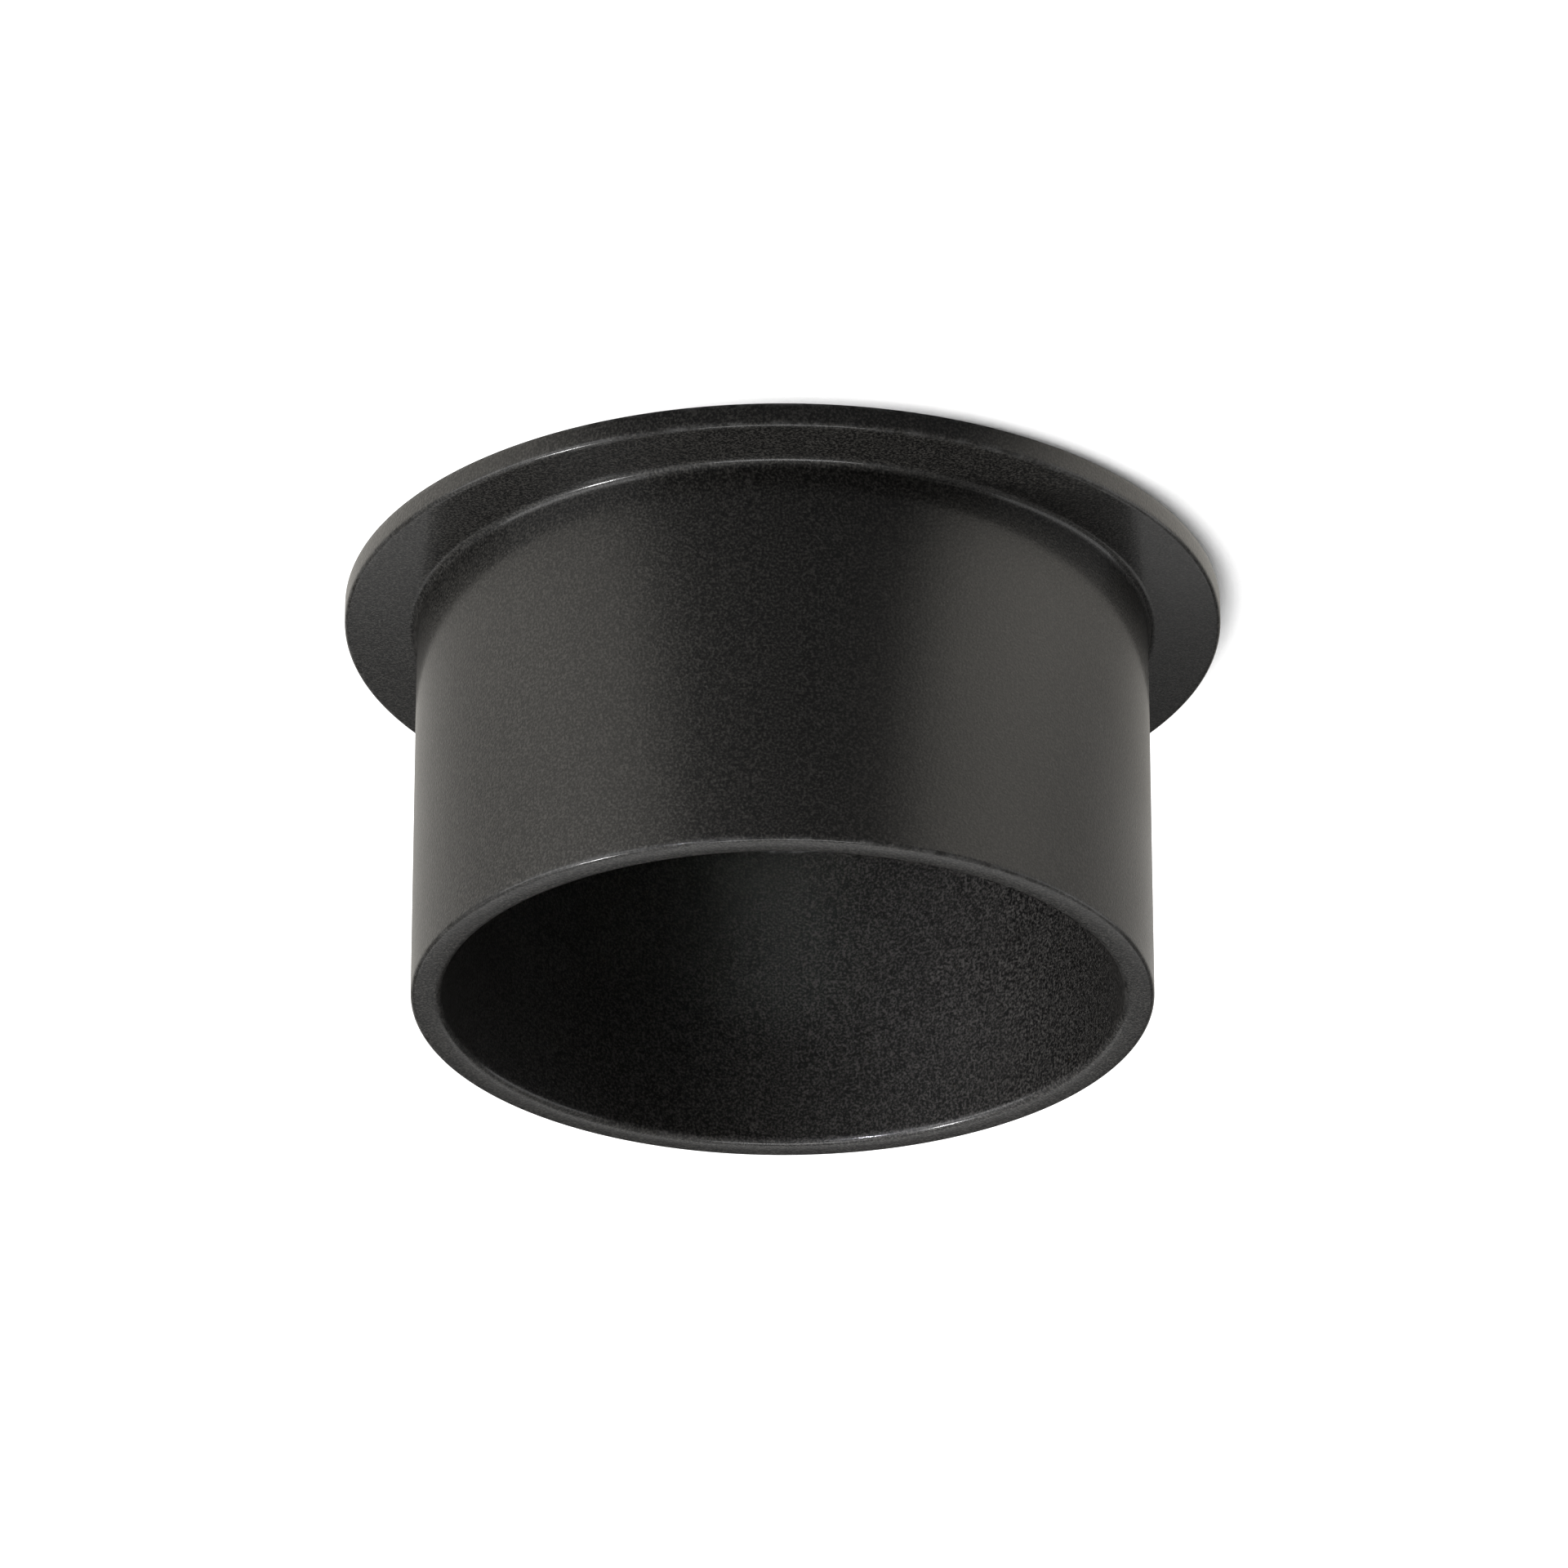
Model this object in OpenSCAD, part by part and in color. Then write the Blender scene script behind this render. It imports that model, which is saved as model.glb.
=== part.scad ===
// Recessed soffit downlight with a plain round snoot.
// The origin is on the lamp's axis in the plane of the soffit's underside.
// +Z goes up into the soffit, so the flange and the snoot lie below zero and the works above it.
// All sizes are in millimetres.

/* [Trim] */
// Outer diameter of the snoot
tube_d = 72; // [68:0.5:80]
// Wall of the snoot
tube_wall = 3; // [2.6:0.1:3.6]
// Length of the snoot below the flange
tube_drop = 40.25; // [25:0.25:70]
// Width of the flange outside the snoot
flange_lap = 7.15; // [6.5:0.05:14]
// Thickness of the flange
flange_t = 2.3; // [2:0.1:4]
// Fillet between the flange and the snoot
fillet_r = 1.2; // [0.6:0.1:2]
// Rounding of the trim's outer edges
edge_r = 0.45; // [0.25:0.05:0.7]
// Rounding of the inner edge of the mouth
lip_r = 0.7; // [0.3:0.1:1]
// Width of the flange's lip outside the soffit gasket
gasket_lip = 1.7; // [1.2:0.1:2.5]
// Depth of the soffit gasket's recess
gasket_t = 1.2; // [0.8:0.1:1.5]

/* [Neck] */
// How far the locating collar stands outside the snoot's radius
collar_step = 1.3; // [1:0.1:1.8]
// Height of the locating collar
collar_h = 3; // [2:0.5:4]
// Height of the neck above the soffit plane
neck_h = 10; // [8:0.5:14]
// Wall of the neck round its pocket
neck_wall = 3.5; // [3:0.1:4]
// Depth of the glass shelf's top below the soffit plane
shelf_depth = 6.5; // [5:0.5:9]
// Thickness of the glass shelf
shelf_t = 2; // [1.6:0.1:3]
// Radius of the bosses that take the body screws
boss_r = 3.2; // [2.8:0.1:3.4]
// Number of body screws
boss_n = 4; // [4:4:4]

/* [Optics] */
// Thickness of the front glass
glass_t = 3; // [2:0.5:4]
// Thickness of the silicone seal under the glass
seal_t = 1; // [0.6:0.1:1.5]
// Wall of the reflector
reflector_wall = 1; // [0.8:0.1:1.4]
// Radius of the reflector's top opening
reflector_neck_r = 6.5; // [6:0.1:8]
// Thickness of the lip of the reflector
reflector_lip = 1.2; // [1:0.1:2]
// Radius of the light engine's holder
holder_r = 13; // [12:0.1:15]
// Thickness of the light engine's holder
holder_t = 2.4; // [2:0.1:3]
// Side of the light engine's square board
board_w = 13.5; // [12:0.1:14]
// Thickness of the light engine's board
board_t = 1; // [0.8:0.1:1.2]
// Radius of the yellow emitting disc
emitter_r = 4.6; // [4:0.1:5]
// Thickness of the thermal pad
pad_t = 0.3; // [0.2:0.05:0.5]

/* [Heat sink] */
// Height of the heat sink from its joint to the top of its fins
sink_h = 45; // [44:0.5:60]
// Height of the chamber over the reflector
chamber_h = 14.2; // [13:0.1:18]
// Thickness of the plate that carries the light engine
plate_t = 4; // [3:0.1:6]
// Thickness of the heat sink's mounting flange
sink_flange_t = 3; // [2.5:0.1:4]
// Wall of the chamber
core_wall = 2.5; // [2:0.1:3]
// Number of fins
fin_n = 28; // [20:4:32]
// Thickness of a fin at its tip
fin_tip_t = 1.1; // [0.9:0.1:1.4]
// Thickness of a fin at its root
fin_root_t = 1.8; // [1.5:0.1:2.2]
// Radius of the central hub
hub_r = 9; // [7:0.5:10]
// Thickness of the gasket between neck and heat sink
body_gasket_t = 0.8; // [0.5:0.1:1]

/* [Spring clips] */
// Length of a clip arm from its pin to its end
arm_l = 34; // [26:0.5:34.5]
// How far the arm hangs below level when it rests on its stop
arm_tilt = 20; // [14:1:22]
// Thickness of the sheet of the arms and brackets
sheet_t = 1; // [0.8:0.1:1.1]
// Width of a clip arm
arm_w = 14.4; // [13.5:0.1:15]
// Radius of the clip's hinge pin
clip_pin_r = 1.25; // [1:0.05:1.35]
// Diameter of the spring wire
wire_d = 1.2; // [1:0.05:1.25]
// Mean radius of the spring's coil
coil_r = 2.45; // [2.3:0.05:2.5]
// Whole turns of the spring
coil_turns = 3; // [2:1:4]
// Clear gap between neighbouring turns
turn_gap = 0.5; // [0.45:0.05:0.6]

/* [Driver and terminals] */
// Radius of the driver case above its foot
case_r = 27; // [26.5:0.1:28]
// Thickness of the foot of the driver case
foot_t = 3; // [2:0.1:4]
// Height of the potted driver between the foot and the terminal floor
potting_h = 3; // [2:0.5:8]
// Height of the terminal compartment
bay_h = 17.5; // [17:0.5:24]
// Wall of the terminal compartment beside the gland
case_wall = 2.5; // [2:0.1:3]
// Thickness of the terminal lid
lid_t = 2.5; // [2.2:0.1:3.5]
// Width of the terminal block across its poles
block_w = 26; // [24:0.5:30]
// Height of the terminal block
block_h = 12; // [11:0.5:13]
// Depth of the terminal block
block_d = 11; // [10:0.5:11.5]
// Radius of the lid's hinge pin
lid_pin_r = 1; // [0.8:0.05:1.2]
// Diameter over the insulation of the mains leads
lead_d = 1.6; // [1.4:0.1:2]
// Diameter over the insulation of the light engine's leads
fine_lead_d = 1.1; // [0.9:0.05:1.2]

/* [Cable gland] */
// Width across the flats of the gland
gland_af = 15; // [14:0.5:15.5]
// Radius of the gland's thread
gland_r = 6; // [5.5:0.1:6.2]
// Diameter of the cable that the seal takes
cable_d = 6.4; // [5:0.1:7]

/* [Hidden] */
$fn = 96;

// Clearances, and how far a cut runs past the face that it opens
slip = 0.2;
running = 0.08;
thread_fit = 0.05;
seat_gap = 0.02;
overcut = 1;
weld = 0.4;

// Trim and neck
tube_r = tube_d / 2;
bore_r = tube_r - tube_wall;
flange_r = tube_r + flange_lap;
mouth_z = -flange_t - tube_drop;
collar_r = tube_r + collar_step;
pocket_step = 1.5;
pocket_r = bore_r - pocket_step;
shelf_step = 2;
shelf_r = pocket_r - shelf_step;
shelf_z = -shelf_depth;
neck_r = pocket_r + neck_wall;
recess_r = flange_r - gasket_lip;
gasket_inset = 0.9;
groove_r = collar_r + gasket_inset;
collar_chamfer = 0.6;
shelf_chamfer = 1.5;

// Screws
screw_r = 1.2;
screw_head_r = 2.25;
screw_head_h = 1.5;
small_head_r = 1.9;
small_head_h = 1.2;
screw_bite = 8;
screw_short = 1;
driver_room = 0.6;
boss_at = collar_r - boss_r - slip;
boss_turn = 45;

// Optical stack, from the shelf up
glass_z = shelf_z + seal_t;
glass_r = pocket_r - slip;
glass_edge = 0.3;
seal_inset = 0.3;
stack_r = glass_r - slip / 2;
lip_z = glass_z + glass_t;
spacer_z = lip_z + reflector_lip;
spacer_r = stack_r - 1.5;
sink_z = neck_h + body_gasket_t;
plate_z = sink_z + chamber_h;
holder_z = plate_z - holder_t;
reflector_mouth_r = spacer_r - reflector_wall - weld;
window_r = emitter_r + 0.6;
window_flare = 1.6;
holder_screw_inset = 3;
holder_screw_x = holder_r - holder_screw_inset;
lead_port_inset = 1;
lead_port_y = holder_r - lead_port_inset;

// Heat sink
flange_top = sink_z + sink_flange_t;
spot_face = 0.4;
body_screw_z = flange_top - spot_face;
plate_top = plate_z + plate_t;
sink_top = sink_z + sink_h;
clip_bay_depth = 11.3;
core_r = collar_r - clip_bay_depth;
chamber_r = core_r - core_wall;
fin_inset = 2.3;
fin_r = min(neck_r, collar_r - fin_inset) - slip;
fin_slope_h = 9;
fin_slope_w = 2.6;
fin_shoulder_z = sink_top - fin_slope_h;
case_foot_r = fin_r - fin_slope_w;
post_r = 3;
post_at = case_foot_r - post_r + slip;
duct_out = 3;
duct_y = lead_port_y + duct_out;
duct_r = 1.9;
duct_wall = 1.4;

// Spring clips, about a hinge pin at pin_x, pin_z
coil_out_r = coil_r + wire_d / 2;
coil_room = 0.4;
coil_gap = 0.35;
pin_inset = 3.5;
pin_x = collar_r - pin_inset;
ear_margin = 0.95;
ear_r = clip_pin_r + ear_margin;
foot_setback = 0.3;
clip_foot_x = core_r + foot_setback;
clip_foot_z = flange_top;
pin_z = clip_foot_z + sheet_t + coil_out_r + coil_room;
ear_gap = 0.3;
arm_ear_y = arm_w / 2;
bracket_ear_y = arm_ear_y + ear_gap + sheet_t;
ear_toe = 1.4;
ear_heel = 0.6;
toe_h = 1.6;
clip_screw_x = clip_foot_x + screw_head_r + slip / 2;
bay_margin = 1;
clip_bay_y = bracket_ear_y + bay_margin;
clip_bay_x = pin_x - coil_out_r - coil_gap;
clip_bay_step = pin_z + coil_out_r + bay_margin;
web_low = -ear_r;
arm_tip_w = 8;
web_start = coil_out_r + coil_room;
web_taper = 16;
taper_l = 3;
rib_l = 5;
rib_r = 1.1;
rib_h = 0.4;
sleeve_l = 12;
sleeve_t = 0.8;
sleeve_w = arm_tip_w + 2 * sleeve_t;
grip_pitch = 2;
grip_w = 0.8;
grip_depth = 0.35;
leg_reach = 12;
leg_bend = 1.2;

// Driver case and terminals
foot_top = sink_top + foot_t;
floor_z = foot_top + potting_h;
case_top = floor_z + bay_h;
flat_y = -14;
bay_x = 17;
bay_front = flat_y + case_wall;
bay_back = 14.5;
block_front = -3;
block_back = block_front + block_d;
block_step = 1;
block_shoulder = 2;
pole_pitch = 8;
pole_screw_y = 2.2;
pole_groove_w = 1;
pole_groove_h = 1.5;
entry_r = 2;
entry_l = 2;
entry_rise = 4.5;
entry_z = floor_z + entry_rise;
well_r = 1.9;
well_depth = 3;
pole_screw_h = 1.2;
pole_slot_w = 0.6;
pole_slot_h = 0.5;
lead_bend = 2.5;
lead_run = 1;
lead_bite = 2;
fine_bend = 1.5;
fine_gap = 0.15;
hinge_out = 2.2;
hinge_y = flat_y - hinge_out;
hinge_z = case_top + lid_t / 2;
knuckle_r = 2;
knuckle_l = 3;
knuckle_in = 14;
knuckle_out = knuckle_in + knuckle_l + slip;
gusset_h = 8;
foot_pad_h = 0.6;
tab_w = 12;
tab_t = 1.5;
tab_drop = 5;
seal_w = 1.4;
seal_h = 0.8;
seal_margin = 0.6;
lid_panel_inset = 2;
lid_panel_depth = 0.5;

// Cable gland, along -Y from the flat of the driver case
gland_lift = 1.2;
gland_z = floor_z + gland_af / 2 + gland_lift;
gland_hex_t = 4;
gland_nut_l = 12;
gland_dome_l = 3.5;
gland_dome_in = 2.5;
gland_lock_t = 3;
gland_end = 0.5;
seal_wall = 1;
gland_bore_r = cable_d / 2 + seal_wall;
collet_l = 7.5;
collet_r = gland_r - 0.5;

// Points of a circular arc from angle a0 to a1 in n steps
function arc(c, r, a0, a1, n) = [for (i = [0:n]) let (a = a0 + (a1 - a0) * i / n)
    [c[0] + r * cos(a), c[1] + r * sin(a)]];

function unit(v) = v / norm(v);

// The direction of a path at each of its points
function tangents(p) = [for (i = [0:len(p) - 1])
    unit(p[min(i + 1, len(p) - 1)] - p[max(i - 1, 0)])];

// The part of v that is square to t, at unit length
function squared(v, t) = unit(v - (v * t) * t);

// A side direction carried along the path without twisting
function sides(t, start) = [for (i = 0, u = squared(start, t[0]); i < len(t);
    i = i + 1, u = squared(u, t[min(i, len(t) - 1)])) u];

// A round tube of radius r and n sides along the points of a path
module tube_along(path, r, n, start) {
    t = tangents(path);
    u = sides(t, start);
    rings = len(path);
    points = [for (i = [0:rings - 1]) for (k = [0:n - 1]) let (a = 360 * k / n)
        path[i] + r * (cos(a) * u[i] + sin(a) * cross(t[i], u[i]))];
    walls = [for (i = [0:rings - 2]) for (k = [0:n - 1]) let (a = i * n + k, b = i * n + (k + 1) % n)
        each [[a, a + n, b + n], [a, b + n, b]]];
    last = (rings - 1) * n;
    caps = [for (k = [1:n - 2]) each [[0, k, k + 1], [last, last + k + 1, last + k]]];
    polyhedron(points = points, faces = concat(walls, caps), convexity = 6);
}

// Copies of its children at the body screws
module at_bosses() {
    for (i = [0:boss_n - 1]) rotate(boss_turn + 360 * i / boss_n) translate([boss_at, 0, 0]) children();
}

// Copies of its children at the screws of the driver case
module at_posts() {
    for (a = [90, 210, 330]) rotate(a) translate([post_at, 0, 0]) children();
}

// A pan-head screw, head up, with its seat at zero and a hexagon socket
module screw(length, head_r = screw_head_r, head_h = screw_head_h, shank_r = screw_r) {
    difference() {
        union() {
            translate([0, 0, -length]) cylinder(r = shank_r, h = length + head_h / 2, $fn = 32);
            cylinder(r = head_r, h = head_h * 0.6, $fn = 48);
            translate([0, 0, head_h * 0.6])
                cylinder(r1 = head_r, r2 = head_r * 0.75, h = head_h * 0.4, $fn = 48);
        }
        translate([0, 0, head_h * 0.35]) cylinder(r = head_r * 0.5, h = head_h, $fn = 6);
    }
}

// The outline that the neck, the body gasket and the heat sink's flange share
module lobed_outline(r) {
    circle(r = r);
    at_bosses() circle(r = boss_r, $fn = 48);
}

// A bar with round ends, its two end centres on the X axis
module slot_shape(x0, x1, r) {
    translate([x0, -r]) square([x1 - x0, 2 * r]);
    for (x = [x0, x1]) translate([x, 0]) circle(r = r, $fn = 48);
}

// ---- Trim, one die casting: snoot, flange, collar, neck and the glass shelf ----
module trim() {
    profile = concat(
        arc([bore_r + lip_r, mouth_z + lip_r], lip_r, 180, 270, 6),
        arc([tube_r - edge_r, mouth_z + edge_r], edge_r, 270, 360, 5),
        arc([tube_r + fillet_r, -flange_t - fillet_r], fillet_r, 180, 90, 7),
        arc([flange_r - edge_r, -flange_t + edge_r], edge_r, 270, 360, 5),
        [[flange_r, 0], [recess_r, 0], [recess_r, -gasket_t], [groove_r, -gasket_t], [groove_r, 0],
            [collar_r, 0], [collar_r, collar_h - collar_chamfer], [collar_r - collar_chamfer, collar_h],
            [pocket_r - weld, collar_h], [pocket_r - weld, shelf_z], [shelf_r, shelf_z],
            [shelf_r, shelf_z - shelf_t], [bore_r, shelf_z - shelf_t - shelf_chamfer]]);
    color([0.07, 0.07, 0.075]) difference() {
        union() {
            rotate_extrude($fn = 180) polygon(profile);
            translate([0, 0, collar_h - overcut]) linear_extrude(neck_h - collar_h + overcut)
                lobed_outline(neck_r);
        }
        translate([0, 0, shelf_z]) cylinder(r = pocket_r, h = neck_h - shelf_z + overcut, $fn = 180);
        at_bosses() translate([0, 0, neck_h - screw_bite])
            cylinder(r = screw_r + thread_fit, h = screw_bite + overcut, $fn = 32);
    }
}

// Closed-cell foam ring in the back of the flange, pressed flush by the soffit
module soffit_gasket() {
    color([0.12, 0.12, 0.12]) translate([0, 0, -gasket_t]) difference() {
        cylinder(r = recess_r - slip / 2, h = gasket_t, $fn = 180);
        translate([0, 0, -overcut]) cylinder(r = groove_r + slip / 2, h = gasket_t + 2 * overcut, $fn = 180);
    }
}

// ---- Optical stack ----
module glass_seal() {
    color([0.75, 0.75, 0.72]) translate([0, 0, shelf_z]) difference() {
        cylinder(r = glass_r, h = seal_t);
        translate([0, 0, -overcut]) cylinder(r = shelf_r + seal_inset, h = seal_t + 2 * overcut);
    }
}

module front_glass() {
    color([0.8, 0.9, 0.9, 0.5]) translate([0, 0, glass_z]) rotate_extrude()
        polygon([[0, 0], [glass_r - glass_edge, 0], [glass_r, glass_edge], [glass_r, glass_t - glass_edge],
            [glass_r - glass_edge, glass_t], [0, glass_t]]);
}

// A parabola of revolution from the light engine's window to the glass
module reflector() {
    span = holder_z - lip_z;
    steps = 14;
    curve = [for (i = [0:steps]) let (s = i / steps)
        [sqrt(pow(reflector_neck_r, 2) * (1 - s) + pow(reflector_mouth_r, 2) * s), holder_z - span * s]];
    outer = [for (i = [steps:-1:0]) [curve[i][0] + reflector_wall,
        max(curve[i][1], lip_z + reflector_lip * (i == steps ? 1 : 0))]];
    color([0.85, 0.85, 0.86]) union() {
        rotate_extrude() polygon(concat(curve, outer));
        translate([0, 0, lip_z]) difference() {
            cylinder(r = stack_r, h = reflector_lip);
            translate([0, 0, -overcut])
                cylinder(r = reflector_mouth_r + reflector_wall / 2, h = reflector_lip + 2 * overcut);
        }
    }
}

// Moulded ring that carries the heat sink's clamping force down to the reflector's lip
module spacer_ring() {
    color([0.1, 0.1, 0.1]) translate([0, 0, spacer_z]) difference() {
        cylinder(r = stack_r, h = sink_z - spacer_z);
        translate([0, 0, -overcut]) cylinder(r = spacer_r, h = sink_z - spacer_z + 2 * overcut);
    }
}

module body_gasket() {
    color([0.25, 0.25, 0.27]) translate([0, 0, neck_h]) linear_extrude(body_gasket_t) difference() {
        lobed_outline(neck_r);
        circle(r = pocket_r + slip / 2);
        at_bosses() circle(r = screw_r + slip, $fn = 32);
    }
}

// ---- Light engine ----
module thermal_pad() {
    color([0.55, 0.6, 0.75]) translate([0, 0, plate_z - pad_t]) linear_extrude(pad_t)
        square(board_w - 1, center = true);
}

module led_board() {
    color([0.85, 0.85, 0.8]) translate([0, 0, plate_z - pad_t - board_t]) linear_extrude(board_t)
        difference() {
            square(board_w, center = true);
            for (s = [-1, 1]) translate([s * board_w / 2, s * board_w / 2]) circle(r = 1, $fn = 32);
        }
}

module led_emitter() {
    dome = 0.5;
    color([0.95, 0.8, 0.25]) translate([0, 0, plate_z - pad_t - board_t - dome]) rotate_extrude($fn = 64)
        polygon([[0, 0], [emitter_r - dome, 0], [emitter_r, dome], [0, dome]]);
}

module led_holder() {
    rim = holder_t - pad_t - board_t;
    color([0.92, 0.92, 0.9]) translate([0, 0, holder_z]) difference() {
        linear_extrude(holder_t) difference() {
            intersection() {
                circle(r = holder_r);
                square(2 * lead_port_y, center = true);
            }
            circle(r = window_r, $fn = 64);
            for (s = [-1, 1]) translate([s * holder_screw_x, 0]) circle(r = screw_r + slip / 2, $fn = 32);
        }
        translate([-board_w / 2 - slip / 2, -board_w / 2 - slip / 2, rim])
            cube([board_w + slip, board_w + slip, holder_t]);
        translate([0, 0, -overcut])
            cylinder(r1 = window_r + window_flare, r2 = window_r, h = rim + overcut - pad_t, $fn = 64);
        for (s = [-1, 1]) translate([s * holder_screw_x, 0, -overcut])
            cylinder(r = small_head_r + slip, h = overcut + small_head_h, $fn = 48);
    }
}

module holder_screws() {
    grip = holder_t - small_head_h + plate_t;
    color("silver") for (s = [-1, 1]) translate([s * holder_screw_x, 0, holder_z + small_head_h])
        rotate([180, 0, 0]) screw(grip - screw_short, small_head_r, small_head_h);
}

// ---- Heat sink, one die casting: flange, chamber, plate, hub, fins, posts and lead duct ----
module fin_fan() {
    for (i = [0:fin_n - 1]) rotate(360 * (i + 0.5) / fin_n)
        polygon([[hub_r - 1, -fin_root_t / 2], [fin_r + 1, -fin_tip_t / 2],
            [fin_r + 1, fin_tip_t / 2], [hub_r - 1, fin_root_t / 2]]);
}

module heat_sink() {
    color([0.1, 0.1, 0.105]) difference() {
        union() {
            translate([0, 0, sink_z]) linear_extrude(sink_flange_t) lobed_outline(neck_r);
            translate([0, 0, sink_z]) cylinder(r = core_r, h = chamber_h + plate_t);
            translate([0, 0, plate_top - overcut]) cylinder(r = hub_r, h = sink_top - plate_top + overcut);
            intersection() {
                translate([0, 0, sink_z + overcut]) linear_extrude(sink_h - overcut) fin_fan();
                rotate_extrude() polygon([[0, sink_z], [fin_r, sink_z], [fin_r, fin_shoulder_z],
                    [case_foot_r, sink_top], [0, sink_top]]);
            }
            at_posts() translate([0, 0, flange_top - overcut])
                cylinder(r = post_r, h = sink_top - flange_top + overcut, $fn = 48);
            translate([0, duct_y, plate_top - overcut])
                cylinder(r = duct_r + duct_wall, h = sink_top - plate_top + overcut, $fn = 48);
        }
        // chamber over the reflector
        translate([0, 0, sink_z - overcut]) cylinder(r = chamber_r, h = chamber_h + overcut);
        // lead duct, light engine screws and body screws
        translate([0, duct_y, plate_z - overcut]) cylinder(r = duct_r, h = sink_h, $fn = 48);
        for (s = [-1, 1]) translate([s * holder_screw_x, 0, plate_z - overcut])
            cylinder(r = screw_r + thread_fit, h = plate_t, $fn = 32);
        at_bosses() {
            translate([0, 0, sink_z - overcut]) cylinder(r = screw_r + slip, h = sink_h, $fn = 32);
            translate([0, 0, body_screw_z]) cylinder(r = screw_head_r + driver_room, h = sink_h, $fn = 48);
        }
        at_posts() translate([0, 0, sink_top - screw_bite])
            cylinder(r = screw_r + thread_fit, h = screw_bite + overcut, $fn = 32);
        // a bay on each side for the clip, deeper where its bracket and screw stand
        for (s = [0, 180]) rotate(s) {
            translate([clip_foot_x - slip / 2, -clip_bay_y, flange_top])
                cube([collar_r, 2 * clip_bay_y, clip_bay_step - flange_top]);
            translate([clip_bay_x, -clip_bay_y, flange_top]) cube([collar_r, 2 * clip_bay_y, sink_h]);
            translate([clip_screw_x, 0, sink_z - overcut])
                cylinder(r = screw_r + thread_fit, h = sink_flange_t + 2 * overcut, $fn = 32);
        }
    }
}

module body_screws() {
    grip = body_screw_z - neck_h;
    color("silver") at_bosses() translate([0, 0, body_screw_z]) screw(grip + screw_bite - screw_short);
}

// ---- Spring clips ----
// Places its children about the hinge pin of the right clip, or of the left one
module clip_side(left) {
    rotate(left ? 180 : 0) translate([pin_x, 0, pin_z]) children();
}

// Sheet steel: a foot on the heat sink's flange with an ear at each end for the pin
module clip_bracket(left) {
    foot_z = clip_foot_z - pin_z;
    foot_x = clip_foot_x - pin_x;
    color([0.7, 0.7, 0.72]) clip_side(left) difference() {
        union() {
            translate([foot_x, -bracket_ear_y, foot_z])
                cube([-foot_x + ear_r - ear_heel, 2 * bracket_ear_y, sheet_t]);
            for (s = [-1, 1]) translate([0, s * (bracket_ear_y - sheet_t / 2), 0]) rotate([90, 0, 0])
                linear_extrude(sheet_t, center = true) {
                    circle(r = ear_r, $fn = 48);
                    polygon([[-ear_r, 0], [ear_r, 0], [ear_r - ear_heel, foot_z], [-ear_r - ear_toe, foot_z],
                        [-ear_r - ear_toe, foot_z + toe_h]]);
                }
        }
        rotate([90, 0, 0]) cylinder(r = clip_pin_r, h = 4 * bracket_ear_y, center = true, $fn = 48);
        translate([clip_screw_x - pin_x, 0, foot_z - overcut])
            cylinder(r = screw_r + slip, h = sheet_t + 2 * overcut, $fn = 32);
    }
}

module bracket_screws() {
    color("silver") for (left = [false, true]) clip_side(left)
        translate([clip_screw_x - pin_x, 0, clip_foot_z + sheet_t - pin_z])
            screw(sheet_t + sink_flange_t, head_h = 1.3);
}

module clip_pin(left) {
    head_t = 0.5;
    head_step = 0.4;
    color("silver") clip_side(left) rotate([90, 0, 0]) {
        cylinder(r = clip_pin_r, h = 2 * bracket_ear_y, center = true, $fn = 48);
        for (s = [-1, 1]) translate([0, 0, s * (bracket_ear_y + head_t / 2)])
            cylinder(r = clip_pin_r + head_step, h = head_t, center = true, $fn = 48);
    }
}

// Pressed steel arm, drawn along +X and turned down to its rest
module clip_arm(left) {
    half_tip = arm_tip_w / 2;
    color([0.7, 0.7, 0.72]) clip_side(left) rotate([0, arm_tilt, 0]) difference() {
        union() {
            // the web, narrowing to the tongue that the sleeve covers
            translate([0, 0, web_low]) linear_extrude(sheet_t) {
                polygon([[web_start, -arm_ear_y], [web_taper - taper_l, -arm_ear_y], [web_taper, -half_tip],
                    [web_taper, half_tip], [web_taper - taper_l, arm_ear_y], [web_start, arm_ear_y]]);
                slot_shape(web_taper - sheet_t, arm_l - half_tip, half_tip);
            }
            // the ears on the pin
            for (s = [-1, 1]) translate([0, s * (arm_ear_y - sheet_t / 2), 0]) rotate([90, 0, 0])
                linear_extrude(sheet_t, center = true) {
                    circle(r = ear_r, $fn = 48);
                    polygon([[0, web_low], [web_taper - taper_l, web_low],
                        [web_taper - taper_l, web_low + sheet_t], [0, ear_r]]);
                }
            // a pressed rib that stiffens the tongue
            translate([web_taper - 2 * sheet_t, 0, web_low + sheet_t / 2])
                linear_extrude(sheet_t / 2 + rib_h) slot_shape(0, rib_l, rib_r);
        }
        rotate([90, 0, 0]) cylinder(r = clip_pin_r + running, h = 4 * bracket_ear_y, center = true, $fn = 48);
    }
}

// Soft sleeve that grips the top of the soffit
module clip_sleeve(left) {
    half = sleeve_w / 2;
    start = arm_l - sleeve_l;
    color([0.09, 0.09, 0.09]) clip_side(left) rotate([0, arm_tilt, 0]) difference() {
        translate([0, 0, web_low - sleeve_t]) linear_extrude(sheet_t + 2 * sleeve_t) {
            translate([start, -half]) square([sleeve_l - half + sleeve_t, 2 * half]);
            translate([arm_l - half + sleeve_t, 0]) circle(r = half, $fn = 64);
        }
        translate([0, 0, web_low]) linear_extrude(sheet_t)
            slot_shape(start - half, arm_l - arm_tip_w / 2, arm_tip_w / 2);
        // grip grooves across the underside
        for (i = [1:4]) translate([start + grip_pitch * i, 0, web_low - sleeve_t])
            cube([grip_w, 2 * sleeve_w, 2 * grip_depth], center = true);
    }
}

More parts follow.
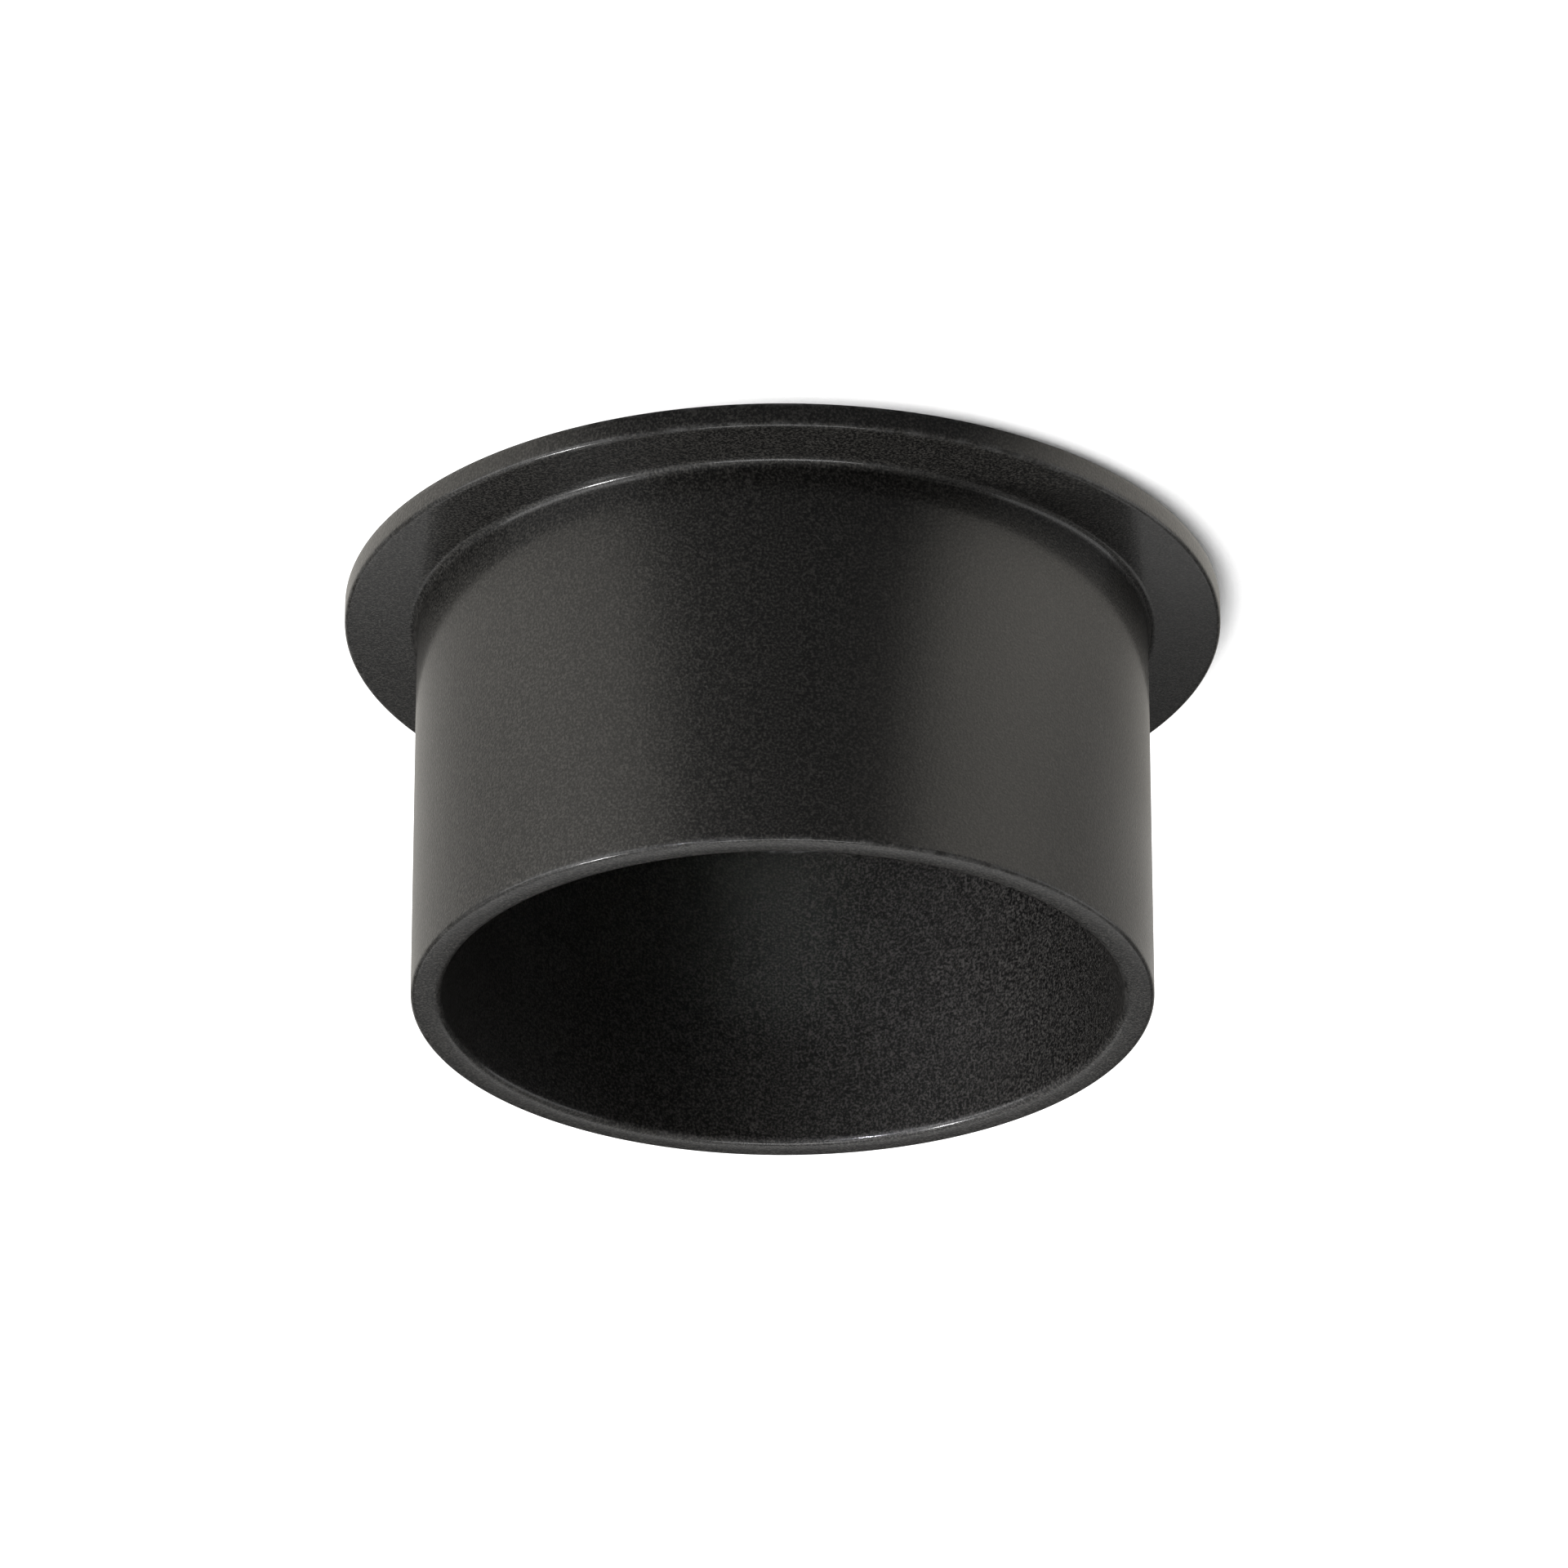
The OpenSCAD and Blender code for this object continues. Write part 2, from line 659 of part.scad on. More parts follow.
// Torsion spring round the pin: a leg down to the bracket's foot, the turns, and a leg on the arm
function spring_path() = let (
    pitch = wire_d + turn_gap,
    sweep = 180 - (90 - arm_tilt) + 360 * coil_turns,
    steps = ceil(sweep / 45),
    half = pitch * sweep / 360 / 2,
    foot = clip_foot_z + sheet_t - pin_z + seat_gap,
    along = [cos(arm_tilt), 0, -sin(arm_tilt)],
    up = [sin(arm_tilt), 0, cos(arm_tilt)],
    web = web_low + sheet_t + seat_gap,
    knee = along * (leg_reach - leg_bend) + up * (coil_r - leg_bend) + [0, half, 0])
    concat(
        [[-coil_r, -half, foot], [-coil_r, -half, foot + wire_d]],
        [for (i = [0:steps]) let (a = 180 - sweep * i / steps)
            [coil_r * cos(a), -half + 2 * half * i / steps, coil_r * sin(a)]],
        [for (a = [90:-30:0]) knee + leg_bend * (along * cos(a) + up * sin(a))],
        [for (rise = [wire_d, 0]) along * leg_reach + up * (web + rise) + [0, half, 0]]);

// The least clear distance between turns, taken between the path's points half a turn apart or more
spring_points = spring_path();
spring_gap = min([for (i = [0:len(spring_points) - 1]) for (j = [i + 5:1:len(spring_points) - 1])
    norm(spring_points[i] - spring_points[j])]) - wire_d;
echo(spring_least_self_gap = spring_gap);

module clip_spring(left) {
    color([0.78, 0.78, 0.8]) clip_side(left) tube_along(spring_points, wire_d / 2, 6, [1, 0, 0]);
}

// ---- Driver case with its terminal compartment ----
// The case's D-shaped outline, grown by g
module case_outline(g = 0) {
    intersection() {
        circle(r = case_r + g);
        translate([-case_r * 2, flat_y - g]) square([case_r * 4, case_r * 4]);
    }
}

// The run of hinge knuckles between two distances from the middle, on both sides
module knuckles(x0, x1) {
    for (s = [-1, 1]) translate([s * (x0 + x1) / 2, hinge_y, hinge_z]) rotate([0, 90, 0])
        cylinder(r = knuckle_r, h = x1 - x0, center = true, $fn = 48);
}

module driver_case() {
    pad_top = foot_t + foot_pad_h;
    color([0.13, 0.13, 0.14]) difference() {
        union() {
            translate([0, 0, sink_top]) cylinder(r = case_foot_r, h = foot_t);
            translate([0, 0, sink_top]) linear_extrude(case_top - sink_top) case_outline();
            // outer knuckles of the lid's hinge, on gussets down the flat
            knuckles(knuckle_out, knuckle_out + knuckle_l);
            for (s = [-1, 1]) translate([s * (knuckle_out + knuckle_l / 2), 0, 0]) rotate([90, 0, 90])
                linear_extrude(knuckle_l, center = true) polygon([[flat_y + overcut, hinge_z - gusset_h],
                    [flat_y + overcut, case_top - slip], [hinge_y, hinge_z - knuckle_r / 2],
                    [hinge_y - knuckle_r * 0.8, hinge_z - knuckle_r * 0.6], [flat_y, hinge_z - gusset_h]]);
            // pads under the screws of the foot
            at_posts() translate([0, 0, sink_top]) cylinder(r = post_r - 2 * slip, h = pad_top, $fn = 48);
        }
        // terminal compartment
        translate([-bay_x, bay_front, floor_z]) cube([2 * bay_x, bay_back - bay_front, bay_h + overcut]);
        // gland hole, lead duct and screw holes
        translate([0, bay_front + overcut, gland_z]) rotate([90, 0, 0])
            cylinder(r = gland_r + slip / 2, h = case_wall + 2 * overcut, $fn = 64);
        translate([0, duct_y, sink_top - overcut]) cylinder(r = duct_r, h = foot_t + overcut, $fn = 48);
        at_posts() translate([0, 0, sink_top - overcut]) {
            cylinder(r = screw_r + slip, h = case_top, $fn = 32);
            translate([0, 0, pad_top + overcut]) cylinder(r = screw_head_r + slip, h = case_top, $fn = 48);
        }
        rotate([0, 90, 0]) translate([-hinge_z, hinge_y, 0])
            cylinder(r = lid_pin_r, h = 4 * knuckle_in, center = true, $fn = 32);
    }
}

module case_screws() {
    color("silver") at_posts() translate([0, 0, foot_top + foot_pad_h])
        screw(foot_t + screw_bite - screw_short);
}

module terminal_block() {
    color([0.88, 0.88, 0.86]) difference() {
        union() {
            translate([-block_w / 2, block_front, floor_z])
                cube([block_w, block_d, block_h - block_shoulder]);
            translate([-block_w / 2, block_front + block_step, floor_z])
                cube([block_w, block_d - 2 * block_step, block_h]);
        }
        for (i = [-1:1]) translate([i * pole_pitch, 0, 0]) {
            // wire entries through the block, and two screw wells from the top
            translate([0, block_back + overcut, entry_z]) rotate([90, 0, 0])
                cylinder(r = lead_d / 2 + slip, h = block_d + 2 * overcut, $fn = 32);
            translate([0, block_front + entry_l, entry_z]) rotate([90, 0, 0])
                cylinder(r1 = lead_d / 2 + slip, r2 = entry_r, h = entry_l, $fn = 32);
            for (s = [-1, 1])
                translate([0, block_front + block_d / 2 + s * pole_screw_y, floor_z + block_h - well_depth])
                    cylinder(r = well_r, h = well_depth + overcut, $fn = 32);
        }
        // grooves between the poles
        for (s = [-1, 1]) translate([s * pole_pitch / 2, block_front + block_d / 2, floor_z + block_h])
            cube([pole_groove_w, 2 * block_d, 2 * pole_groove_h], center = true);
    }
}

module terminal_screws() {
    seat_z = floor_z + block_h - well_depth;
    color([0.8, 0.75, 0.5]) for (i = [-1:1]) for (s = [-1, 1])
        translate([i * pole_pitch, block_front + block_d / 2 + s * pole_screw_y, seat_z]) difference() {
            cylinder(r = well_r - 0.15, h = pole_screw_h, $fn = 32);
            translate([0, 0, pole_screw_h]) cube([4 * well_r, pole_slot_w, 2 * pole_slot_h], center = true);
        }
}

// One mains lead: out of the block, round a bend and down into the potted floor
module mains_lead(x) {
    bend = [block_back + lead_run, entry_z - lead_bend];
    path = concat(
        [[x, block_back - lead_bite, entry_z]],
        [for (a = [90:-15:0]) [x, bend[0] + lead_bend * cos(a), bend[1] + lead_bend * sin(a)]],
        [[x, bend[0] + lead_bend, floor_z]]);
    tube_along(path, lead_d / 2, 8, [1, 0, 0]);
}

module lead_live() {
    color([0.45, 0.25, 0.12]) mains_lead(pole_pitch);
}

module lead_neutral() {
    color([0.15, 0.35, 0.75]) mains_lead(-pole_pitch);
}

module lead_earth() {
    color([0.35, 0.65, 0.2]) mains_lead(0);
}

// One lead of the light engine: down the duct and round to the holder's flat side
module engine_lead(x) {
    level = plate_z - holder_t / 2;
    path = concat(
        [[x, duct_y, foot_top], [x, duct_y, plate_z + plate_t / 2]],
        [for (a = [0:-15:-90]) [x, duct_y + fine_bend * (cos(a) - 1), level + fine_bend * (1 + sin(a))]],
        [[x, lead_port_y, level]]);
    tube_along(path, fine_lead_d / 2, 8, [1, 0, 0]);
}

module lead_led_plus() {
    color([0.7, 0.1, 0.1]) engine_lead(fine_lead_d / 2 + fine_gap);
}

module lead_led_minus() {
    color([0.05, 0.05, 0.05]) engine_lead(-fine_lead_d / 2 - fine_gap);
}

// ---- Terminal lid ----
// A rectangle that follows the compartment's edge at a distance
module bay_ring(g) {
    translate([-bay_x - g, bay_front - g]) square([2 * (bay_x + g), bay_back - bay_front + 2 * g]);
}

module terminal_lid() {
    color([0.13, 0.13, 0.14]) difference() {
        union() {
            translate([0, 0, case_top]) linear_extrude(lid_t) case_outline();
            // inner knuckles, joined to the lid's straight edge
            knuckles(knuckle_in, knuckle_in + knuckle_l);
            for (s = [-1, 1]) translate([s * (knuckle_in + knuckle_l / 2), hinge_y, hinge_z])
                translate([-knuckle_l / 2, 0, -lid_t / 2]) cube([knuckle_l, hinge_out + overcut, lid_t]);
            // finger tab down the round side of the case
            intersection() {
                translate([0, 0, case_top - tab_drop]) difference() {
                    cylinder(r = case_r + slip + tab_t, h = tab_drop + lid_t);
                    translate([0, 0, -overcut]) cylinder(r = case_r + slip, h = tab_drop + overcut);
                }
                translate([-tab_w / 2, 0, case_top - tab_drop]) cube([tab_w, 2 * case_r, tab_drop + lid_t]);
            }
        }
        // groove for the seal, and a shallow panel in the top
        translate([0, 0, case_top - overcut]) linear_extrude(seal_h + overcut) difference() {
            bay_ring(seal_margin + seal_w + slip / 2);
            bay_ring(seal_margin - slip / 2);
        }
        translate([0, 0, case_top + lid_t - lid_panel_depth]) linear_extrude(overcut)
            bay_ring(-lid_panel_inset);
        rotate([0, 90, 0]) translate([-hinge_z, hinge_y, 0])
            cylinder(r = lid_pin_r + running, h = 4 * knuckle_in, center = true, $fn = 32);
    }
}

module lid_seal() {
    color([0.3, 0.3, 0.32]) translate([0, 0, case_top]) linear_extrude(seal_h) difference() {
        bay_ring(seal_margin + seal_w);
        bay_ring(seal_margin);
    }
}

module lid_pin() {
    reach = knuckle_out + knuckle_l;
    color("silver") translate([0, hinge_y, hinge_z]) rotate([0, 90, 0])
        cylinder(r = lid_pin_r, h = 2 * reach, center = true, $fn = 32);
}

// ---- Cable gland ----
// Places its children on the flat of the case, with +Z turned to point outwards along -Y
module at_gland() {
    translate([0, flat_y, gland_z]) rotate([90, 0, 0]) children();
}

module hex(af, h) {
    cylinder(r = af / 2 / cos(30), h = h, $fn = 6);
}

module gland_body() {
    color([0.2, 0.2, 0.21]) at_gland() difference() {
        union() {
            translate([0, 0, -case_wall - gland_lock_t - gland_end])
                cylinder(r = gland_r, h = case_wall + gland_lock_t + 2 * gland_end, $fn = 64);
            hex(gland_af, gland_hex_t);
            cylinder(r = collet_r, h = gland_hex_t + collet_l, $fn = 64);
        }
        translate([0, 0, -gland_nut_l]) cylinder(r = gland_bore_r, h = 4 * gland_nut_l, $fn = 64);
    }
}

module gland_seal() {
    color([0.15, 0.15, 0.15]) at_gland() translate([0, 0, gland_hex_t]) difference() {
        cylinder(r = gland_bore_r - thread_fit, h = collet_l, $fn = 64);
        translate([0, 0, -overcut]) cylinder(r = cable_d / 2, h = collet_l + 2 * overcut, $fn = 64);
    }
}

module gland_nut() {
    dome_r = gland_af / 2 - weld;
    dome_z = gland_nut_l - gland_dome_l;
    color([0.2, 0.2, 0.21]) at_gland() translate([0, 0, gland_hex_t + weld]) difference() {
        union() {
            hex(gland_af, dome_z);
            translate([0, 0, dome_z - gland_end]) cylinder(r = dome_r, h = 0.6, $fn = 64);
            translate([0, 0, dome_z])
                cylinder(r1 = dome_r, r2 = gland_af / 2 - gland_dome_in, h = gland_dome_l, $fn = 64);
        }
        translate([0, 0, -overcut]) cylinder(r = collet_r + slip / 2, h = collet_l + overcut, $fn = 64);
        cylinder(r = cable_d / 2 + 2 * slip, h = 2 * gland_nut_l, $fn = 64);
    }
}

module gland_locknut() {
    color([0.2, 0.2, 0.21]) at_gland() translate([0, 0, -case_wall - gland_lock_t]) difference() {
        hex(gland_af, gland_lock_t);
        translate([0, 0, -overcut])
            cylinder(r = gland_r + thread_fit, h = gland_lock_t + 2 * overcut, $fn = 64);
    }
}

trim();
soffit_gasket();
glass_seal();
front_glass();
reflector();
spacer_ring();
body_gasket();
heat_sink();
thermal_pad();
led_board();
led_emitter();
led_holder();
holder_screws();
body_screws();
clip_bracket(true);  // clip_bracket_left
clip_bracket(false);  // clip_bracket_right
bracket_screws();
clip_pin(true);  // clip_pin_left
clip_pin(false);  // clip_pin_right
clip_arm(true);  // clip_arm_left
clip_arm(false);  // clip_arm_right
clip_spring(true);  // clip_spring_left
clip_spring(false);  // clip_spring_right
clip_sleeve(true);  // clip_sleeve_left
clip_sleeve(false);  // clip_sleeve_right
driver_case();
case_screws();
terminal_block();
terminal_screws();
lead_live();
lead_neutral();
lead_earth();
lead_led_plus();
lead_led_minus();
terminal_lid();
lid_seal();
lid_pin();
gland_body();
gland_locknut();
gland_seal();
gland_nut();
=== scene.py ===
"""A recessed soffit downlight, dressed for its portrait.

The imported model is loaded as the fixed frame, and each piece is dressed or made again on it.
The sections follow the lamp as it is put together: the camera and the studio come first, then the trim,
the optics, the light engine, the heat sink, the spring clips, the driver case and the cable gland.
Sizes are in millimetres, and MM turns them into Blender's metres when a mesh is made.
"""

import math

import bpy
import numpy as np
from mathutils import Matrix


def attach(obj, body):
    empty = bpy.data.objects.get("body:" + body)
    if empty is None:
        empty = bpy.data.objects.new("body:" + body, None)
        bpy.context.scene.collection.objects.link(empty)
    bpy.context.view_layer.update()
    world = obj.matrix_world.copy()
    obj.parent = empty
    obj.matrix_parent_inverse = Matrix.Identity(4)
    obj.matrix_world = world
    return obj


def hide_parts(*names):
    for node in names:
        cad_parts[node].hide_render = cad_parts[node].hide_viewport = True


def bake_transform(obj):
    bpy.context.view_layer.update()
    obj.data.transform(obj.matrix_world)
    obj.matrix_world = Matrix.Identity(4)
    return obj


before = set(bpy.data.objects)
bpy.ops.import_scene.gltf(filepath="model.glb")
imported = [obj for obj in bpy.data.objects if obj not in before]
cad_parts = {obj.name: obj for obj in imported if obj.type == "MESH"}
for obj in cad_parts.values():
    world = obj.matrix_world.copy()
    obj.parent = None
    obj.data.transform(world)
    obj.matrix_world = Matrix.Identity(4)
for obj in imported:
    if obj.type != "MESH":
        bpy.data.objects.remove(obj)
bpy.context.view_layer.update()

MM = 0.001

# --------------------
# Camera: a long lens below and in front of the lamp, looking up under the soffit.
# Its place comes from fitting the outlines of the flange, the snoot and the mouth.
LENS = 229.5
SENSOR = 36.0
LOOK_UP = math.radians(26.47)
CAMERA_AWAY = 0.978
AIM = (0.00014, 0.0, -0.01884)

eye = bpy.data.cameras.new("eye")
eye.lens = LENS
eye.sensor_width = SENSOR
eye.clip_start = 0.01
camera = bpy.data.objects.new("camera", eye)
camera.location = (
    AIM[0],
    AIM[1] - CAMERA_AWAY * math.cos(LOOK_UP),
    AIM[2] - CAMERA_AWAY * math.sin(LOOK_UP),
)
camera.rotation_euler = (math.pi / 2 + LOOK_UP, 0.0, 0.0)
bpy.context.scene.collection.objects.link(camera)
bpy.context.scene.camera = camera
bpy.context.scene.view_settings.view_transform = "Standard"

# --------------------
# Studio: a plain white soffit with the lamp's cut-out, a pale floor far below, and soft lamps.
# The soffit is painted on its underside only, so that a view from above sees the works of the lamp.
# Its wash is for reflections alone, and its shade lies on the side turned from the key lamp.
CUTOUT_R = 38.0
SOFFIT_REACH = 3000.0
FLOOR_DROP = 1600.0
RING_TURNS = 96
SOFFIT_PAINT = 0.2
SOFFIT_GLOW = 1.3
WASH_STEPS = ((-18, -42, 1.25), (-55, -95, -0.6), (22, 47, 1.6), (55, 92, -1.0))
WASH_TINT = (1.0, 0.955, 0.87, 1.0)
SHADE_REACH = 0.006
SHADE_TURN = 50
SHADE_SPAN = 0.04
SHADE_DEPTH = 8.0
SHADE_RAYS = 3
FLOOR_PAINT = 0.8
FLOOR_GLOW = 0.75
FLOOR_WASH = 0.25
SKY_FILL = 0.35
SKY_FULL_AT = 0.25
BELOW_FILL = 0.0
HEART = (0.0, 0.0, -0.02)
FAR_WALL = (0.0085, 0.009, -0.0426)
SPOT_TINT = (0.92, 0.92, 1.0)
SPOT_SIZE = 0.02


def node_maker(tree):
    """A function that adds a node to a tree: each input is a value to set or an output to join."""

    def add(kind, inputs=None, **settings):
        node = tree.nodes.new(kind)
        for name, value in settings.items():
            setattr(node, name, value)
        for key, value in (inputs or {}).items():
            if isinstance(value, bpy.types.NodeSocket):
                tree.links.new(value, node.inputs[key])
            else:
                node.inputs[key].default_value = value
        return node

    return add


def new_finish(name):
    """A new material's empty node tree, as the material and the function that adds its nodes."""
    finish = bpy.data.materials.new(name)
    finish.use_nodes = True
    finish.node_tree.nodes.clear()
    return finish, node_maker(finish.node_tree)


def grey(value):
    return (value, value, value, 1.0)


def blended(add, mask, colour, other):
    """One colour giving way to another where the mask rises."""
    return add("ShaderNodeMix", {0: mask, 6: colour, 7: other}, data_type="RGBA").outputs[2]


def mesh_piece(name, points, faces):
    """A mesh object made from points in millimetres and a list of arrays of faces."""
    mesh = bpy.data.meshes.new(name)
    corners = [face for group in faces for face in group.tolist()]
    mesh.from_pydata((np.asarray(points) * MM).tolist(), [], corners)
    piece = bpy.data.objects.new(name, mesh)
    bpy.context.scene.collection.objects.link(piece)
    return piece


def net(rows, columns, spans, steps):
    """Quads over rows of so many columns of points: spans by steps of them, joined round past the last row
    and the last column."""
    row, step = np.meshgrid(np.arange(spans), np.arange(steps), indexing="ij")
    ahead, after = (row + 1) % rows, (step + 1) % columns
    corners = [row * columns + step, row * columns + after, ahead * columns + after, ahead * columns + step]
    return np.stack(corners, axis=-1).reshape(-1, 4)


def flat_ring(name, inner, outer, height, up):
    """A flat ring of quads at one height: radius inner or outer times (cosine, sine), facing up or down."""
    angle = np.linspace(0.0, 2 * math.pi, RING_TURNS, endpoint=False)
    rim = np.column_stack([np.cos(angle), np.sin(angle), np.zeros(RING_TURNS)])
    points = np.concatenate([inner * rim, outer * rim]) + (0.0, 0.0, height)
    quads = net(2, RING_TURNS, 1, RING_TURNS)[:, [0, 3, 2, 1]]
    return mesh_piece(name, points, [quads if up else quads[:, ::-1]])


def maths(add, operation, *values):
    """The output of one step of arithmetic on numbers and outputs."""
    return add("ShaderNodeMath", dict(enumerate(values)), operation=operation).outputs[0]


def mapped(add, value, low, high, to_low=0.0, to_high=1.0, **settings):
    """The output of a number carried from one range to another and held inside the second."""
    ends = {"From Min": low, "From Max": high, "To Min": to_low, "To Max": to_high}
    return add("ShaderNodeMapRange", {"Value": value, **ends}, **settings).outputs[0]


def object_place(add):
    return add("ShaderNodeTexCoord").outputs["Object"]


def split(add, place):
    """The X, Y and Z outputs of a place."""
    return add("ShaderNodeSeparateXYZ", {0: place}).outputs


def seen_rays(add, ray):
    """One for rays from the camera, also those that pass through glass, and zero for all others."""
    return maths(add, "MAXIMUM", ray.outputs["Is Camera Ray"], ray.outputs["Is Transmission Ray"])


def uneven_wash(add):
    """The light that the soffit sends into glossy reflections: none in front of the lamp, most to its left
    and right, and less behind it. It is a sum of smooth steps of the azimuth, in degrees from the front."""
    parts = split(add, object_place(add))
    turn = maths(add, "ARCTAN2", parts["X"], maths(add, "MULTIPLY", parts["Y"], -1.0))
    total = 0.0
    for start, end, strength in WASH_STEPS:
        step = mapped(add, turn, math.radians(start), math.radians(end), 0.0, strength,
                      interpolation_type="SMOOTHSTEP")
        total = maths(add, "ADD", step, total)
    return total


def edge_shade(add):
    """The soft shade beside the flange: how open the soffit lies, to a power, where the place measured along
    the shade's direction, X times its sine less Y times its cosine, is past the lamp's axis."""
    parts = split(add, object_place(add))
    turn = math.radians(SHADE_TURN)
    side = maths(add, "MULTIPLY", parts["X"], math.sin(turn))
    side = maths(add, "MULTIPLY_ADD", parts["Y"], -math.cos(turn), side)
    openness = add("ShaderNodeAmbientOcclusion", {"Distance": SHADE_REACH}, samples=SHADE_RAYS)
    shade = maths(add, "POWER", openness.outputs["AO"], SHADE_DEPTH)
    past = mapped(add, side, 0.0, SHADE_SPAN)
    return add("ShaderNodeMix", {"Factor": past, "A": 1.0, "B": shade}).outputs[0]


def one_sided_paint(name, paint, glow, wash, shade=None):
    """Paint seen from its front only. Camera and clear rays see it lifted by its glow, and glossy rays by its
    wash. The wash is a number or a function that adds its nodes, as the shade is."""
    finish, add = new_finish(name)
    ray = add("ShaderNodeLightPath")
    seen = maths(add, "MULTIPLY", seen_rays(add, ray), glow)
    if shade:
        seen = maths(add, "MULTIPLY", seen, shade(add))
    gloss = maths(add, "MULTIPLY", ray.outputs["Is Glossy Ray"], wash(add) if callable(wash) else wash)
    tint = blended(add, ray.outputs["Is Glossy Ray"], grey(1.0), WASH_TINT)
    matt = add("ShaderNodeBsdfDiffuse", {"Color": grey(paint)})
    lift = add("ShaderNodeEmission", {"Color": tint, "Strength": maths(add, "ADD", seen, gloss)})
    front = add("ShaderNodeAddShader", {0: matt.outputs[0], 1: lift.outputs[0]})
    clear = add("ShaderNodeBsdfTransparent")
    back = add("ShaderNodeNewGeometry").outputs["Backfacing"]
    shown = add("ShaderNodeMixShader", {0: back, 1: front.outputs[0], 2: clear.outputs[0]})
    add("ShaderNodeOutputMaterial", {"Surface": shown.outputs[0]})
    return finish


soffit = flat_ring("soffit", CUTOUT_R, SOFFIT_REACH, 0.0, up=False)
soffit_paint = one_sided_paint("soffit_paint", SOFFIT_PAINT, SOFFIT_GLOW, uneven_wash, edge_shade)
soffit.data.materials.append(soffit_paint)
floor = flat_ring("floor", 1.0, SOFFIT_REACH, -FLOOR_DROP, up=True)
floor.data.materials.append(one_sided_paint("floor_paint", FLOOR_PAINT, FLOOR_GLOW, FLOOR_WASH))

# the world: white where it is seen, a weak fill from above for the works, and nothing from below
sky = bpy.data.worlds.new("studio")
sky.use_nodes = True
bpy.context.scene.world = sky
sky.node_tree.nodes.clear()
add = node_maker(sky.node_tree)
heading = split(add, add("ShaderNodeTexCoord").outputs["Generated"])
fill = mapped(add, heading["Z"], 0.0, SKY_FULL_AT, BELOW_FILL, SKY_FILL)
seen = seen_rays(add, add("ShaderNodeLightPath"))
level = add("ShaderNodeMix", {"Factor": seen, "A": fill, "B": 1.0})
light = add("ShaderNodeBackground", {"Color": grey(1.0), "Strength": level.outputs[0]})
add("ShaderNodeOutputWorld", {"Surface": light.outputs[0]})


def aimed(name, lamp, azimuth, elevation, aim, away=1.0):
    """Puts a lamp at an azimuth from the front (positive to the right) and an elevation, so many metres from
    its aim, and turns it to face the aim."""
    turn, rise = math.radians(azimuth), math.radians(elevation)
    outward = np.array([math.sin(turn) * math.cos(rise), -math.cos(turn) * math.cos(rise), math.sin(rise)])
    source = bpy.data.objects.new(name, lamp)
    source.location = np.array(aim) + away * outward
    source.rotation_euler = (math.pi / 2 - rise, 0.0, turn)
    bpy.context.scene.collection.objects.link(source)


def soft_lamp(name, azimuth, elevation, away, width, height, watts):
    """A softbox that faces the lamp's heart."""
    lamp = bpy.data.lights.new(name, "AREA")
    lamp.shape = "RECTANGLE"
    lamp.size, lamp.size_y = width, height
    lamp.energy = watts
    aimed(name, lamp, azimuth, elevation, HEART, away)


def mouth_spot(name, azimuth, elevation, cone, watts):
    """A narrow spot a metre off that shines through the snoot's mouth on its far wall only."""
    lamp = bpy.data.lights.new(name, "SPOT")
    lamp.energy = watts
    lamp.color = SPOT_TINT
    lamp.spot_size = math.radians(cone)
    lamp.spot_blend = 1.0
    lamp.shadow_soft_size = SPOT_SIZE
    aimed(name, lamp, azimuth, elevation, FAR_WALL)


# lamps under the soffit for the trim, then lamps over it that only the works see, each with its azimuth,
# elevation, distance, width, height and watts
soft_lamp("left_box", -66, -14, 1.0, 0.9, 0.5, 6.0)
soft_lamp("right_box", 91, -14, 1.0, 0.9, 0.5, 3.2)
soft_lamp("low_back_box", 180, -42, 1.0, 1.0, 0.5, 1.5)
soft_lamp("low_front_box", 0, -84, 1.0, 0.4, 0.15, 3.0)
soft_lamp("low_left_box", -72, -50, 1.0, 0.1, 0.1, 8.0)
mouth_spot("mouth_light", -32, -36, 2.7, 105.0)
soft_lamp("upper_left_box", -50, 38, 1.0, 0.6, 0.6, 9.0)
soft_lamp("upper_right_box", 60, 25, 1.1, 0.7, 0.7, 5.5)
soft_lamp("upper_back_box", 165, 40, 1.1, 0.7, 0.5, 6.0)

# --------------------
# Trim: one aluminium die casting, powder coated black with a fine pebbled skin.
# Flange, snoot, collar, neck and glass shelf are turned from one outline, and four bosses take screws.
TUBE_R = 36.0
BORE_R = 33.0
FLANGE_R = 43.15
FLANGE_Z = -2.3
MOUTH_Z = -42.55
FILLET = 0.8
EDGE = 0.45
LIP = 0.7
GASKET_OUT = 41.45
GROOVE_R = 38.2
GROOVE_Z = -1.2
COLLAR_R = 37.3
COLLAR_TOP = 3.0
COLLAR_CUT = 0.6
NECK_R = 35.0
NECK_TOP = 10.0
POCKET_R = 31.5
SHELF_R = 29.5
SHELF_Z = -6.5
SHELF_UNDER = -8.5
SHELF_TAPER = -10.0
BOSS_AT = 33.9
BOSS_R = 3.2
BOSS_BORE = 1.25
BOSS_FOOT = 2.0
BOSS_TURNS = (45, 135, 225, 315)
POCKET_WALL = 0.3
HEX_REACH = 1.13
POWDER_BLACK = (0.0100, 0.0095, 0.0087, 1.0)
COAT_ROUGHNESS = 0.16


def arc(centre, radius, start, end, steps):
    """Points on part of a circle: the centre plus the radius times (cosine, sine) of evenly spaced angles."""
    angle = np.radians(np.linspace(start, end, steps + 1))
    return np.column_stack([centre[0] + radius * np.cos(angle), centre[1] + radius * np.sin(angle)])


